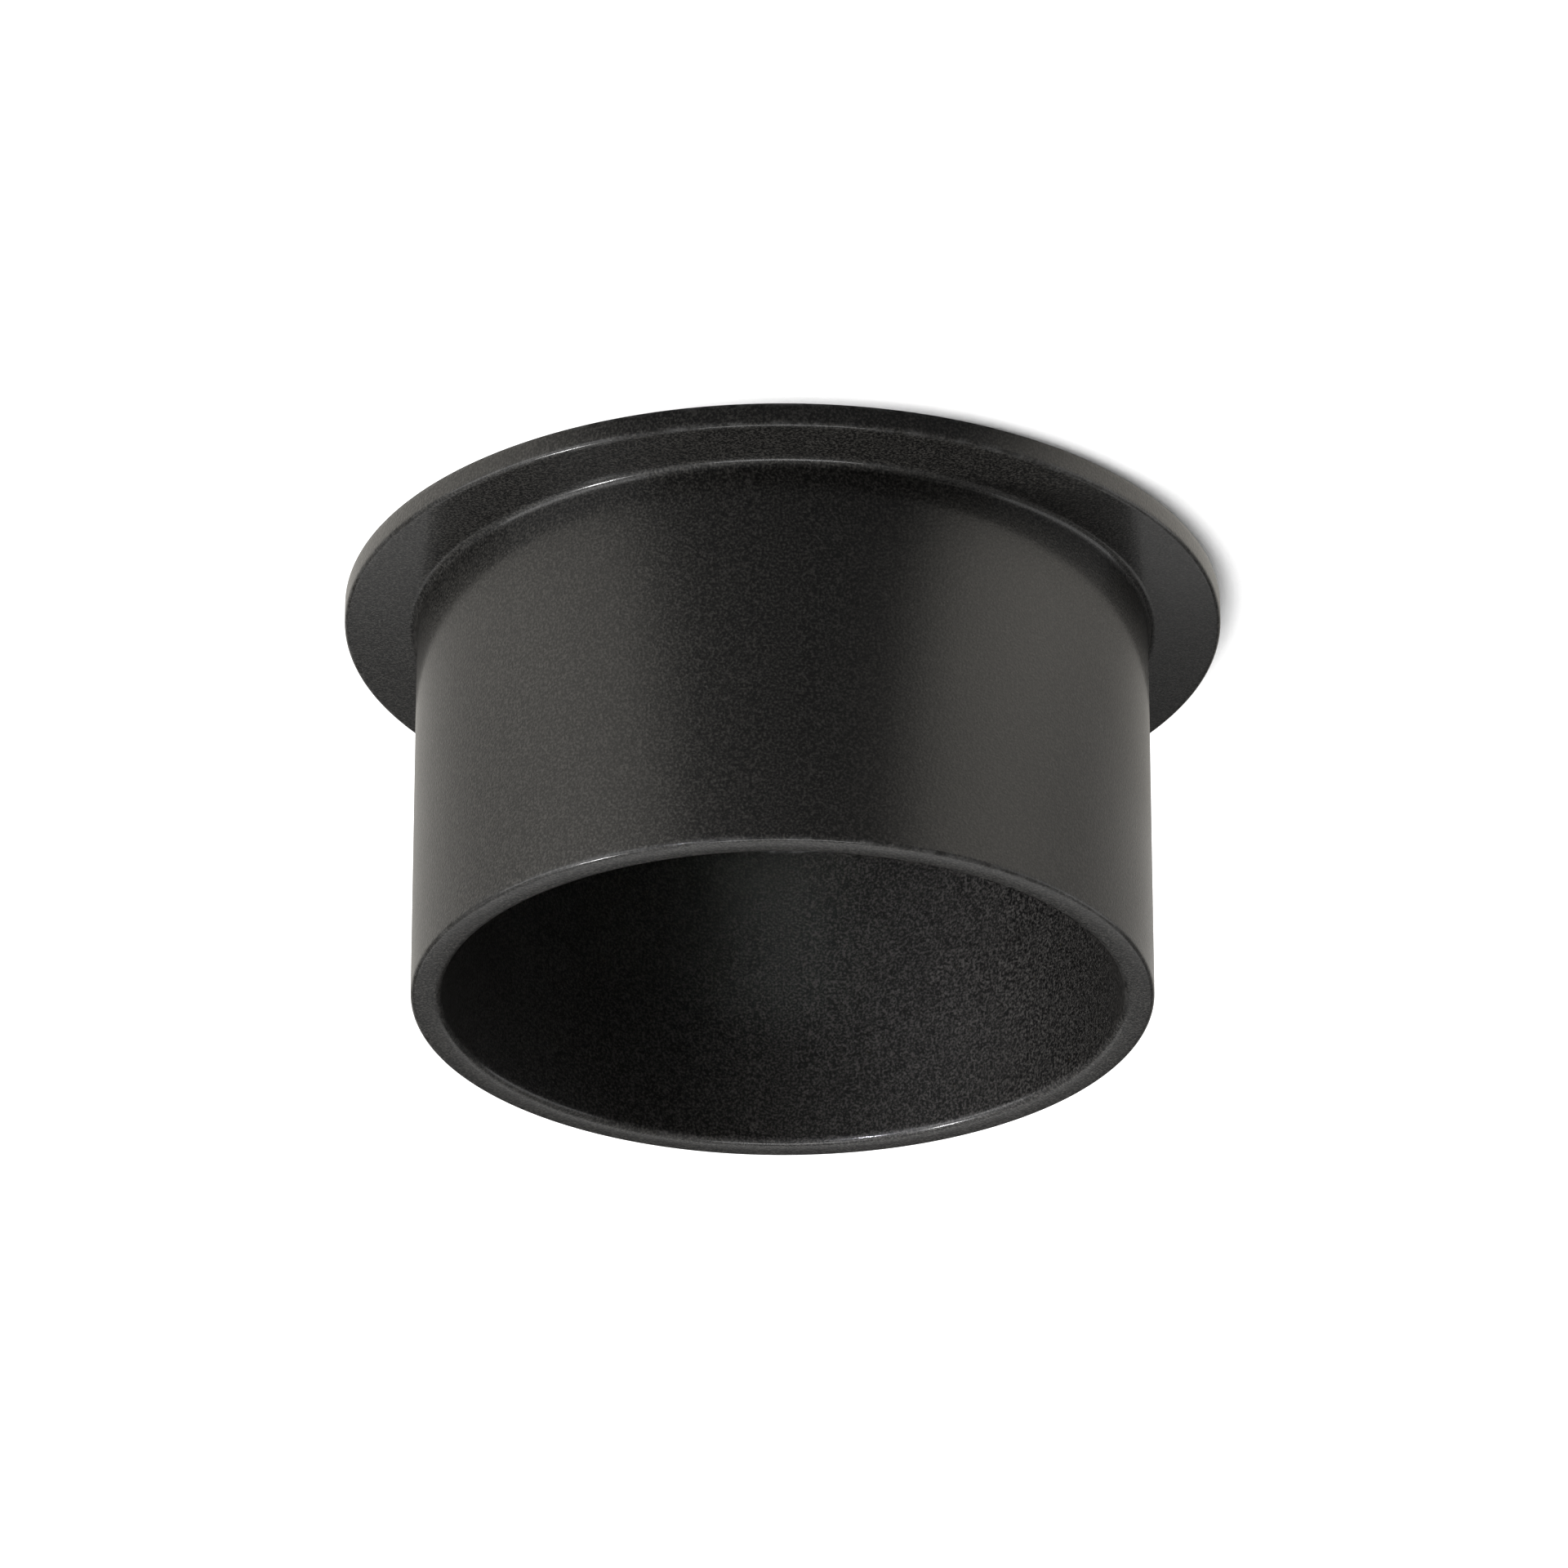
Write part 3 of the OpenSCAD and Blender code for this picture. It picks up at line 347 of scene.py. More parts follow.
def turned(outline, turns, closed=True, six_sided=0.0):
    """An outline of (radius, height) carried round Z. Where it is six-sided, the radius is divided by the
    cosine of the angle from the nearest flat, and grows by HEX_REACH at most. A closed outline makes a ring,
    and an open one gets two discs."""
    outline = np.asarray(outline, float)
    count = len(outline)
    angle = np.linspace(0.0, 2 * math.pi, turns, endpoint=False)
    corner = np.minimum(1 / np.cos(np.mod(angle, math.pi / 3) - math.pi / 6), HEX_REACH)
    reach = outline[:, 0] * (1 + np.broadcast_to(six_sided, count) * (corner[:, None] - 1))
    points = np.stack([np.cos(angle)[:, None] * reach, np.sin(angle)[:, None] * reach,
                       np.broadcast_to(outline[:, 1], reach.shape)], axis=-1).reshape(-1, 3)
    quads = net(turns, count, turns, count if closed else count - 1)[:, [0, 3, 2, 1]]
    if closed:
        return points, [quads]
    ring = np.arange(turns) * count
    return points, [quads, ring[None, ::-1], ring[None, :] + count - 1]


def joined(*shapes):
    """Several (points, faces) shapes as one, each shape's faces counted on from the last."""
    points, faces, start = [], [], 0
    for shape_points, shape_faces in shapes:
        points.append(shape_points)
        faces += [group + start for group in shape_faces]
        start += len(shape_points)
    return np.concatenate(points), faces


def swung(shape, axis, degrees):
    """A shape turned about the origin's X, Y or Z axis: each pair of coordinates takes the usual turn."""
    points, faces = shape
    first, second = {"X": (1, 2), "Y": (2, 0), "Z": (0, 1)}[axis]
    cosine, sine = math.cos(math.radians(degrees)), math.sin(math.radians(degrees))
    out = points.copy()
    out[:, first] = cosine * points[:, first] - sine * points[:, second]
    out[:, second] = sine * points[:, first] + cosine * points[:, second]
    return out, faces


def shifted(shape, x=0.0, y=0.0, z=0.0):
    return shape[0] + (x, y, z), shape[1]


def fitted(name, shape, finish, slot, body, *nodes, crease=35):
    """Makes a shape a piece: its finish, its creases, the body that it rides and the nodes it stands for."""
    piece = mesh_piece(name, *shape)
    piece.data.polygons.foreach_set("use_smooth", np.ones(len(piece.data.polygons), bool))
    piece.data.set_sharp_from_angle(angle=math.radians(crease))
    piece.data.materials.append(finish)
    if body:
        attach(piece, body)
    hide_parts(*nodes)
    return piece


def effect_group(name, inputs, outputs):
    """An empty node group with named number inputs and outputs, the function that adds its nodes, its given
    inputs, and a function that joins its outputs."""
    group = bpy.data.node_groups.new(name, "ShaderNodeTree")
    for label, default in inputs.items():
        socket = group.interface.new_socket(label, in_out="INPUT", socket_type="NodeSocketFloat")
        socket.default_value = default
    for label in outputs:
        kind = "NodeSocketVector" if label == "Normal" else "NodeSocketFloat"
        group.interface.new_socket(label, in_out="OUTPUT", socket_type=kind)
    given = group.nodes.new("NodeGroupInput").outputs
    out = group.nodes.new("NodeGroupOutput")

    def give(**values):
        for label, value in values.items():
            group.links.new(value, out.inputs[label.replace("_", " ")])

    return group, node_maker(group), given, give


def placed(add, effect, **values):
    """The outputs of an effect placed in a material, with its inputs set by name."""
    node = add("ShaderNodeGroup", {}, node_tree=effect)
    for label, value in values.items():
        node.inputs[label.replace("_", " ")].default_value = value
    return node.outputs


def noise(add, place, scale, detail, roughness=0.5, distortion=0.0):
    """The output of a noise with so many bumps a metre (its scale) and finer ones in them (its detail)."""
    look = {"Scale": scale, "Detail": detail, "Roughness": roughness, "Distortion": distortion}
    return add("ShaderNodeTexNoise", {"Vector": place, **look}).outputs["Fac"]


def bumped(add, height, strength, depth, normal=None):
    """The normal of a face, or of the given normal, raised by a height of up to a depth in metres."""
    lift = {"Height": height, "Strength": strength, "Distance": depth}
    if normal:
        lift["Normal"] = normal
    return add("ShaderNodeBump", lift).outputs[0]


def surfaced(add, **sockets):
    """Ends a material with its one shader, whose sockets are given by name, and its output."""
    named = {label.replace("_", " "): value for label, value in sockets.items()}
    shader = add("ShaderNodeBsdfPrincipled", named)
    add("ShaderNodeOutputMaterial", {"Surface": shader.outputs[0]})


def toned(add, colour, tone):
    """A colour multiplied by a number that changes over the surface."""
    shade = add("ShaderNodeCombineColor", {0: tone, 1: tone, 2: tone})
    return add("ShaderNodeMix", {0: 1.0, 6: colour, 7: shade.outputs[0]},
               data_type="RGBA", blend_type="MULTIPLY").outputs[2]


# pebbled skin of powder coat: grains as height, patches as roughness, and specks as tone, partly grain colour
# and partly painted glints
pebbled_skin, add, given, give = effect_group(
    "pebbled_skin", {"Grain Scale": 2600.0, "Roughness": 0.45, "Spread": 0.12},
    ("Height", "Roughness", "Tone"))
place = object_place(add)
bead = add("ShaderNodeTexVoronoi", {"Vector": place, "Scale": given["Grain Scale"], "Smoothness": 0.7},
           feature="SMOOTH_F1")
grain_and_glint = noise(add, place, given["Grain Scale"], 3.0, 0.6)
patch = maths(add, "SUBTRACT", noise(add, place, 90.0, 2.0), 0.5)
give(Height=maths(add, "SUBTRACT", grain_and_glint, bead.outputs["Distance"]),
     Roughness=maths(add, "MULTIPLY_ADD", patch, given["Spread"], given["Roughness"]),
     # the tone's bright specks are partly painted glints
     Tone=mapped(add, grain_and_glint, 0.44, 0.66, 0.1, 3.6))

# edge wear and highlight: the normal of a slightly rounded edge, and a mask of how far it turns from the flat
# face, in patches. Edges made paler by it are partly wear and partly a painted highlight
edge_wear_and_highlight, add, given, give = effect_group("edge_wear_and_highlight", {"Radius": 0.0003, "Wear": 1.0}, ("Edge", "Normal"))
soft = add("ShaderNodeBevel", {"Radius": given["Radius"]}, samples=4)
true = add("ShaderNodeNewGeometry")
same = add("ShaderNodeVectorMath", {0: soft.outputs[0], 1: true.outputs["Normal"]}, operation="DOT_PRODUCT")
turn = mapped(add, same.outputs["Value"], 0.98, 0.8)
patchy_mask = mapped(add, noise(add, object_place(add), 700.0, 4.0), 0.42, 0.62)
give(Edge=maths(add, "MULTIPLY", maths(add, "MULTIPLY", turn, patchy_mask), given["Wear"]), Normal=soft.outputs[0])


def powder_coat(name, colour, grain, depth, roughness, specular, edge_paling, edge_r=0.0003, wear_and_highlight_grey=0.11, gloss=0.0):
    """Powder coat: near-black resin pebbled by its grains, with paler specks that are partly grain colour and
    partly painted glints, a thin glossier top, and sharp edges a little paler, partly rubbed and partly a
    painted highlight."""
    finish, add = new_finish(name)
    skin = placed(add, pebbled_skin, Grain_Scale=grain, Roughness=roughness)
    edge = placed(add, edge_wear_and_highlight, Wear=edge_paling, Radius=edge_r)
    # sharp edges are made paler by the edge mask, partly as wear and partly as a painted highlight
    surfaced(add, Base_Color=blended(add, edge["Edge"], toned(add, colour, skin["Tone"]), grey(wear_and_highlight_grey)),
             Roughness=skin["Roughness"], Specular_IOR_Level=specular, Coat_Weight=gloss,
             Coat_Roughness=COAT_ROUGHNESS, Normal=bumped(add, skin["Height"], 0.6, depth, edge["Normal"]))
    return finish


trim_outline = np.concatenate([
    arc((BORE_R + LIP, MOUTH_Z + LIP), LIP, 180, 270, 8),
    arc((TUBE_R - EDGE, MOUTH_Z + EDGE), EDGE, 270, 360, 8),
    arc((TUBE_R + FILLET, FLANGE_Z - FILLET), FILLET, 180, 90, 10),
    arc((FLANGE_R - EDGE, FLANGE_Z + EDGE), EDGE, 270, 360, 8),
    [(FLANGE_R, 0), (GASKET_OUT, 0), (GASKET_OUT, GROOVE_Z), (GROOVE_R, GROOVE_Z), (GROOVE_R, 0),
     (COLLAR_R, 0), (COLLAR_R, COLLAR_TOP - COLLAR_CUT), (COLLAR_R - COLLAR_CUT, COLLAR_TOP),
     (NECK_R, COLLAR_TOP), (NECK_R, NECK_TOP), (POCKET_R, NECK_TOP), (POCKET_R, SHELF_Z),
     (SHELF_R, SHELF_Z), (SHELF_R, SHELF_UNDER), (BORE_R, SHELF_TAPER)],
])
boss_outline = [(BOSS_BORE, NECK_TOP), (BOSS_BORE, BOSS_FOOT), (BOSS_R, BOSS_FOOT), (BOSS_R, NECK_TOP)]
boss_points, boss_faces = shifted(turned(boss_outline, 48), x=BOSS_AT)
boss_points[:, 0] = np.maximum(boss_points[:, 0], POCKET_R + POCKET_WALL)
bosses = [swung((boss_points, boss_faces), "Z", turn) for turn in BOSS_TURNS]
fitted("trim_casting", joined(turned(trim_outline, 360), *bosses),
       powder_coat("trim_powder", POWDER_BLACK, grain=4000.0, depth=0.00006, roughness=0.45, specular=0.2,
                   edge_paling=1.0, edge_r=0.0007, wear_and_highlight_grey=0.14, gloss=0.35),
       "powder_black", "root", "trim")

# --------------------
# Soffit gasket: a strip of black closed-cell foam lying in the groove in the flange's back.
# The soffit presses it flush. It is cut from sheet, so its faces are flat and its cells show.
FOAM_BLACK = (0.014, 0.014, 0.015, 1.0)
FOAM_PALE = (0.028, 0.028, 0.03, 1.0)
FOAM_CLEAR = 0.1


def speckled(name, colour, other, scale, cell_depth, roughness):
    """A soft matt material with cells: their walls as height, and two tones that drift into each other."""
    finish, add = new_finish(name)
    place = object_place(add)
    cells = add("ShaderNodeTexVoronoi", {"Vector": place, "Scale": scale}, feature="DISTANCE_TO_EDGE")
    drift = noise(add, place, scale / 6, 4.0, 0.6)
    surfaced(add, Base_Color=blended(add, drift, colour, other), Roughness=roughness, Specular_IOR_Level=0.4,
             Normal=bumped(add, cells.outputs["Distance"], 0.5, cell_depth))
    return finish


def rounded_box(inner, outer, low, high, edge):
    """The outline of a ring's section: a rectangle of radius and height with its four corners rounded."""
    corners = [(outer - edge, low + edge, 270), (outer - edge, high - edge, 0),
               (inner + edge, high - edge, 90), (inner + edge, low + edge, 180)]
    return np.concatenate([arc((r, z), edge, start, start + 90, 5) for r, z, start in corners])


foam = speckled("gasket_foam", FOAM_BLACK, FOAM_PALE, scale=3200.0, cell_depth=0.0001, roughness=0.85)
foam_outline = rounded_box(GROOVE_R + FOAM_CLEAR, GASKET_OUT - FOAM_CLEAR, GROOVE_Z, 0.0, edge=0.12)
fitted("soffit_foam_ring", turned(foam_outline, 240), foam, "foam_black", "root", "soffit_gasket")

# --------------------
# Glass and its seal: a clear tempered disc with a ground edge, bedded on a grey silicone ring.
# The ring lies on the trim's shelf, and the reflector's lip holds the glass down.
GLASS_R = 31.3
SEAL_IN = 29.8
GLASS_LOW = -5.5
GLASS_TOP = -2.5
GLASS_EDGE = 0.3
GLASS_HEART = 0.5
GROUND_IN = 0.35
GROUND_OUT = 0.25
GLASS_GREEN = (0.93, 0.975, 0.955, 1.0)
SILICONE_GREY = (0.13, 0.13, 0.135, 1.0)

# moulded silicone: even grey with a faint cloudiness and a dusty, silky face
silicone, add = new_finish("seal_silicone")
place = object_place(add)
cloud = noise(add, place, 240.0, 5.0, 0.6)
surfaced(add, Base_Color=toned(add, SILICONE_GREY, mapped(add, cloud, 0.3, 0.7, 0.82, 1.12)),
         Roughness=mapped(add, cloud, 0.3, 0.7, 0.45, 0.65), Specular_IOR_Level=0.45, Sheen_Weight=0.15,
         Normal=bumped(add, noise(add, place, 4000.0, 2.0), 0.25, 0.00004))
seal_outline = rounded_box(SEAL_IN, GLASS_R, SHELF_Z, GLASS_LOW, edge=0.2)
fitted("glass_bed_ring", turned(seal_outline, 180), silicone, "silicone", "root", "glass_seal")


def off_axis(add, place):
    """How far a place is from the Z axis, and its height."""
    parts = split(add, place)
    flat = add("ShaderNodeCombineXYZ", {0: parts["X"], 1: parts["Y"]})
    reach = add("ShaderNodeVectorMath", {0: flat.outputs[0]}, operation="LENGTH")
    return reach.outputs["Value"], parts["Z"]


# clear glass, a trace of green in it, hardly wavy, and ground matt from near its edge outwards
glass, add = new_finish("tempered_glass")
place = object_place(add)
reach, height = off_axis(add, place)
surfaced(add, Base_Color=GLASS_GREEN, Transmission_Weight=1.0, IOR=1.5,
         Roughness=mapped(add, reach, (GLASS_R - GROUND_IN) * MM, (GLASS_R - GROUND_OUT) * MM, 0.015, 0.45),
         Normal=bumped(add, noise(add, place, 30.0, 2.0), 0.05, 0.0001))
glass_outline = [
    (GLASS_HEART, GLASS_LOW), (GLASS_R - GLASS_EDGE, GLASS_LOW), (GLASS_R, GLASS_LOW + GLASS_EDGE),
    (GLASS_R, GLASS_TOP - GLASS_EDGE), (GLASS_R - GLASS_EDGE, GLASS_TOP), (GLASS_HEART, GLASS_TOP),
]
fitted("glass_disc", turned(glass_outline, 240, closed=False), glass, "clear_glass", "root", "front_glass")

# --------------------
# Reflector: a bowl spun from bright aluminium and anodised. Its flat lip lies on the glass.
# Its inside is a parabola of revolution, and the spinning leaves fine rings all the way down.
HOLDER_Z = 22.6
MOUTH_OF_BOWL = 28.3
NECK_OF_BOWL = 6.5
LIP_TOP = -1.3
STACK_R = 31.2
BOWL_T = 1.0
BOWL_BRIGHT = (0.86, 0.86, 0.87, 1.0)

# spun aluminium: noise read on (distance from the axis, height) makes fine rings, and clouds change its shine
bright_bowl, add = new_finish("bright_spinning")
place = object_place(add)
reach, height = off_axis(add, place)
line = noise(add, add("ShaderNodeCombineXYZ", {0: reach, 1: height}).outputs[0], 5200.0, 3.0)
surfaced(add, Base_Color=toned(add, BOWL_BRIGHT, mapped(add, line, 0.0, 1.0, 0.9, 1.06)), Metallic=1.0,
         Roughness=mapped(add, noise(add, place, 120.0, 3.0), 0.0, 1.0, 0.112, 0.24),
         Normal=bumped(add, line, 0.35, 0.00002))

# the inside's square of radius goes evenly from the neck's to the mouth's as the height falls
fall = np.linspace(0, 1, 41)
bowl_r = np.sqrt(NECK_OF_BOWL ** 2 * (1 - fall) + MOUTH_OF_BOWL ** 2 * fall)
bowl_z = HOLDER_Z + (GLASS_TOP - HOLDER_Z) * fall
inside = np.column_stack([bowl_r, bowl_z])
outside = np.column_stack([bowl_r + BOWL_T, np.maximum(bowl_z, LIP_TOP)])[::-1]
bowl_outline = np.concatenate([inside, [(STACK_R, GLASS_TOP), (STACK_R, LIP_TOP)], outside])
fitted("spun_bowl", turned(bowl_outline, 180), bright_bowl, "reflector_metal", "root", "reflector")

# --------------------
# Spacer and body gasket: a moulded black ring that presses the reflector's lip, and a grey gasket.
# The heat sink clamps both to the neck with the four body screws.
SPACER_IN = 29.7
SINK_Z = 10.8
PLASTIC_BLACK = (0.018, 0.018, 0.019, 1.0)
GASKET_TURNS = 480
GASKET_CLEAR = 0.1

# moulded grain: spark-eroded pits as height, and flow swirls as roughness and tone
moulded_grain, add, given, give = effect_group(
    "moulded_grain", {"Grain Scale": 2200.0, "Roughness": 0.5}, ("Height", "Roughness", "Tone"))
place = object_place(add)
swirl = mapped(add, noise(add, place, 60.0, 3.0, distortion=1.2), 0.0, 1.0, 0.82, 1.18)
give(Height=noise(add, place, given["Grain Scale"], 2.5, 0.55),
     Roughness=maths(add, "MULTIPLY", swirl, given["Roughness"]), Tone=swirl)


def moulded_plastic(name, colour, grain, depth, roughness, edge_paling=0.6, edge_lift=0.09):
    """Moulded plastic: its grain and swirls, and softened edges a little paler."""
    finish, add = new_finish(name)
    skin = placed(add, moulded_grain, Grain_Scale=grain, Roughness=roughness)
    edge = placed(add, edge_wear_and_highlight, Wear=edge_paling)
    paler = tuple(part + edge_lift for part in colour[:3]) + (1.0,)
    surfaced(add, Base_Color=blended(add, edge["Edge"], toned(add, colour, skin["Tone"]), paler),
             Roughness=skin["Roughness"], Specular_IOR_Level=0.45,
             Normal=bumped(add, skin["Height"], 0.5, depth, edge["Normal"]))
    return finish


def band(outer, inner, low, high):
    """A flat ring between two outlines of as many points: four rows, joined round and back to the first."""
    count = len(outer)
    rows = [(outer, low), (outer, high), (inner, high), (inner, low)]
    points = np.concatenate([np.column_stack([row, np.full(count, height)]) for row, height in rows])
    return points, [net(4, count, 4, count)]


def lobed(radius):
    """The neck's outline: at each angle the further of the neck's circle and the nearest boss's circle."""
    angle = np.linspace(0, 2 * math.pi, GASKET_TURNS, endpoint=False)
    off = np.mod(angle, math.pi / 2) - math.pi / 4
    side = BOSS_AT * np.sin(off)
    lobe = BOSS_AT * np.cos(off) + np.sqrt(np.maximum(BOSS_R ** 2 - side ** 2, 0))
    reach = np.where(np.abs(side) < BOSS_R, np.maximum(radius, lobe), radius)
    return reach[:, None] * np.column_stack([np.cos(angle), np.sin(angle)])


spacer_black = moulded_plastic("spacer_black", PLASTIC_BLACK, grain=2200.0, depth=0.00003, roughness=0.5)
fitted("spacer_moulding", turned(rounded_box(SPACER_IN, STACK_R, LIP_TOP, SINK_Z, edge=0.25), 180),
       spacer_black, "black_plastic", "root", "spacer_ring")
gasket_hole = arc((0.0, 0.0), POCKET_R + GASKET_CLEAR, 0, 360, GASKET_TURNS)[:-1]
fitted("body_gasket_sheet", band(lobed(NECK_R), gasket_hole, NECK_TOP, SINK_Z), silicone, "silicone",
       "root", "body_gasket")

# --------------------
# Light engine: a chip-on-board emitter on a white metal board, pressed on a soft blue thermal pad.
# A white holder with a flared window and two sunk screws clamps it under the heat sink's plate.
PLATE_Z = 25.0
PAD_HALF = 6.25
PAD_T = 0.3
CHIP_PITCH = 0.62
HOLDER_SCREW_X = 10.0
HOLDER_SEAT = 23.8
PAD_BLUE = (0.22, 0.30, 0.46, 1.0)
PAD_PALE = (0.30, 0.37, 0.52, 1.0)
BOARD_WHITE = (0.78, 0.78, 0.74, 1.0)
PHOSPHOR_DEEP = (0.86, 0.58, 0.06, 1.0)
PHOSPHOR_PALE = (0.93, 0.74, 0.22, 1.0)
HOLDER_WHITE = (0.74, 0.74, 0.71, 1.0)
ZINC = (0.50, 0.52, 0.55, 1.0)


def rounded_rectangle(half_x, half_y, corner, steps=6):
    """A rectangle about the origin with its four corners rounded, running anticlockwise."""
    centres = [(half_x - corner, half_y - corner, 0), (corner - half_x, half_y - corner, 90),
               (corner - half_x, corner - half_y, 180), (half_x - corner, corner - half_y, 270)]
    return np.concatenate([arc((x, y), corner, start, start + 90, steps) for x, y, start in centres])


def outline_normals(outline):
    """The outward direction at each point of a closed plane outline that runs anticlockwise."""
    along = np.roll(outline, -1, axis=0) - np.roll(outline, 1, axis=0)
    out = np.column_stack([along[:, 1], -along[:, 0]])
    return out / np.linalg.norm(out, axis=1, keepdims=True)


def tube_faces(rows, sides):
    """Quads between neighbouring rows of a tube's points, and a face at each end."""
    ring = np.arange(sides)
    return [net(rows, sides, rows - 1, sides), ring[None, ::-1], ring[None] + (rows - 1) * sides]


def slab(outline, low, high, edge):
    """A plate with rounded edges: its outline, drawn in by the edge's arc, at the heights of that arc."""
    turn = np.radians([0, 30, 60, 90])
    draw_in = np.concatenate([edge * (1 - np.sin(turn)), edge * (1 - np.cos(turn))])
    height = np.concatenate([low + edge * (1 - np.cos(turn)), high - edge * (1 - np.sin(turn))])
    rings = outline[None] - outline_normals(outline)[None] * draw_in[:, None, None]
    count, levels = len(outline), len(height)
    points = np.concatenate([rings, np.broadcast_to(height[:, None, None], (levels, count, 1))], axis=2)
    return points.reshape(-1, 3), tube_faces(levels, count)


pad_gel = speckled("pad_gel", PAD_BLUE, PAD_PALE, scale=1500.0, cell_depth=0.00003, roughness=0.6)
pad_outline = rounded_rectangle(PAD_HALF, PAD_HALF, corner=0.4)
fitted("pad_sheet", slab(pad_outline, PLATE_Z - PAD_T, PLATE_Z, edge=0.05), pad_gel, "pad_blue",
       "root", "thermal_pad")


def dressed(node, finish):
    """Puts a finish on a CAD piece that is kept as it is."""
    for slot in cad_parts[node].material_slots:
        slot.material = finish


# white solder mask: a hard enamel with faint flecks under a thin gloss
board, add = new_finish("board_solder_mask")
mask = noise(add, object_place(add), 900.0, 3.0)
surfaced(add, Base_Color=toned(add, BOARD_WHITE, mapped(add, mask, 0.0, 1.0, 0.93, 1.05)), Roughness=0.35,
         Coat_Weight=0.3, Normal=bumped(add, mask, 0.2, 0.00003))
dressed("led_board", board)

# phosphor gel: paler over each chip, as the product of how near X and Y each are to the middle of a pitch
phosphor, add = new_finish("phosphor_disc")
place = object_place(add)
cells = []
for part in split(add, place)[:2]:
    near = maths(add, "PINGPONG", maths(add, "DIVIDE", part, CHIP_PITCH * MM), 0.5)
    cells.append(mapped(add, near, 0.22, 0.34))
surfaced(add, Base_Color=blended(add, maths(add, "MULTIPLY", *cells), PHOSPHOR_DEEP, PHOSPHOR_PALE),
         Roughness=mapped(add, noise(add, place, 1500.0, 3.0), 0.0, 1.0, 0.2, 0.4), Coat_Weight=0.6)
dressed("led_emitter", phosphor)

holder_white = moulded_plastic("holder_white", HOLDER_WHITE, grain=2600.0, depth=0.00002, roughness=0.42,
                               edge_paling=0.3, edge_lift=0.05)
dressed("led_holder", holder_white)


def plated_steel(name, colour, roughness, along=(1.0, 1.0, 1.0), cloudiness=0.12):
    """Plated or drawn steel: noise stretched along its working direction, clouds in tone and roughness,
    and edges painted paler as a highlight."""
    finish, add = new_finish(name)
    place = object_place(add)
    stretched = add("ShaderNodeMapping", {"Vector": place, "Scale": along}).outputs[0]
    cloud = noise(add, place, 420.0, 4.0)
    edge = placed(add, edge_wear_and_highlight, Radius=0.00012, Wear=0.8)
    # the edge mask paints the edges paler as a highlight
    tint = toned(add, colour, mapped(add, cloud, 0.25, 0.75, 1.0 - cloudiness, 1.0 + cloudiness))
    surfaced(add, Base_Color=blended(add, edge["Edge"], tint, grey(0.7)), Metallic=1.0,
             Roughness=mapped(add, cloud, 0.25, 0.75, roughness * 0.75, roughness * 1.35),
             Normal=bumped(add, noise(add, stretched, 6000.0, 3.0), 0.4, 0.00001, edge["Normal"]))
    return finish


def socket_screw(head_r, head_h, shank_r, length, round_edge=0.35):
    """A pan-head screw, head up and seat at zero: a shank with a point, a washer face, a domed edge, and a
    socket. Each ring is a radius and a height, and the socket's two are six-sided."""
    socket_r = head_r * 0.46
    rows = np.concatenate([
        [(shank_r * 0.45, -length), (shank_r, shank_r * 0.55 - length), (shank_r, 0.0)],
        [(head_r - 0.1, 0.0), (head_r, 0.1)],
        arc((head_r - round_edge, head_h - round_edge), round_edge, 0, 90, 5),
        [(head_r * 0.52, head_h), (socket_r, head_h - 0.08), (socket_r, head_h * 0.4)],
    ])
    six = np.zeros(len(rows))
    six[-2:] = 1.0
    return turned(rows, 48, closed=False, six_sided=six)


zinc = plated_steel("bright_zinc", ZINC, roughness=0.32, cloudiness=0.1)
small_screw = swung(socket_screw(head_r=1.9, head_h=1.2, shank_r=1.2, length=4.2, round_edge=0.25), "X", 180)
holder_pair = joined(*[shifted(small_screw, x=side * HOLDER_SCREW_X, z=HOLDER_SEAT) for side in (-1, 1)])
fitted("holder_screw_pair", holder_pair, zinc, "zinc_steel", "root", "holder_screws")

# --------------------
# Heat sink: one die casting with 28 tapered fins round a hub, three screw posts and a lead duct.
# It is powder coated like the trim, but more thinly, so the casting's skin and edges show through.
BODY_SCREW_Z = 13.4
SCREW_HEAD_R = 2.25
SCREW_HEAD_H = 1.5
SCREW_R = 1.2
CASTING_BLACK = (0.016, 0.016, 0.017, 1.0)


def screw_set(length, reach, seat, turns, head_h=SCREW_HEAD_H):
    """Screws of one size at a reach from Z and with their seats at a height, one at each turn about Z."""
    screw = shifted(socket_screw(SCREW_HEAD_R, head_h, SCREW_R, length), x=reach, z=seat)
    return joined(*[swung(screw, "Z", turn) for turn in turns])


dressed("heat_sink", powder_coat("casting_powder", CASTING_BLACK, grain=3600.0, depth=0.00005, roughness=0.5,
                                 specular=0.4, edge_paling=0.5))
body_screws = screw_set(length=10.4, reach=BOSS_AT, seat=BODY_SCREW_Z, turns=BOSS_TURNS)
fitted("body_screw_set", body_screws, zinc, "zinc_steel", "root", "body_screws")

# --------------------
# Spring clips: on each side a sheet-steel bracket with a hinge pin, a pressed arm and a torsion spring.
# The spring's foot stands on the bracket, its leg lies on the arm, and a soft sleeve grips the soffit.
PIN_X = 33.8
PIN_Z = 18.25
CLIP_PIN_R = 1.25
CLIP_HALF_W = 8.5
CLIP_SCREW_X = 28.65
CLIP_SCREW_Z = 14.8
ARM_TILT = 20.0
COIL_R = 2.45
WIRE_R = 0.6
WIRE_PITCH = 1.7
COIL_SWEEP = 1190.0
SPRING_FOOT = -3.43
SPRING_WEB = -1.18
FOOT_TOP_Z = -0.3
LEG_REACH = 12.0
LEG_BEND = 1.2
SLEEVE_FROM = 22.0
SLEEVE_END = 34.8
SLEEVE_HALF = 4.8
SLEEVE_LOW = -3.0
SLEEVE_TOP = -0.4
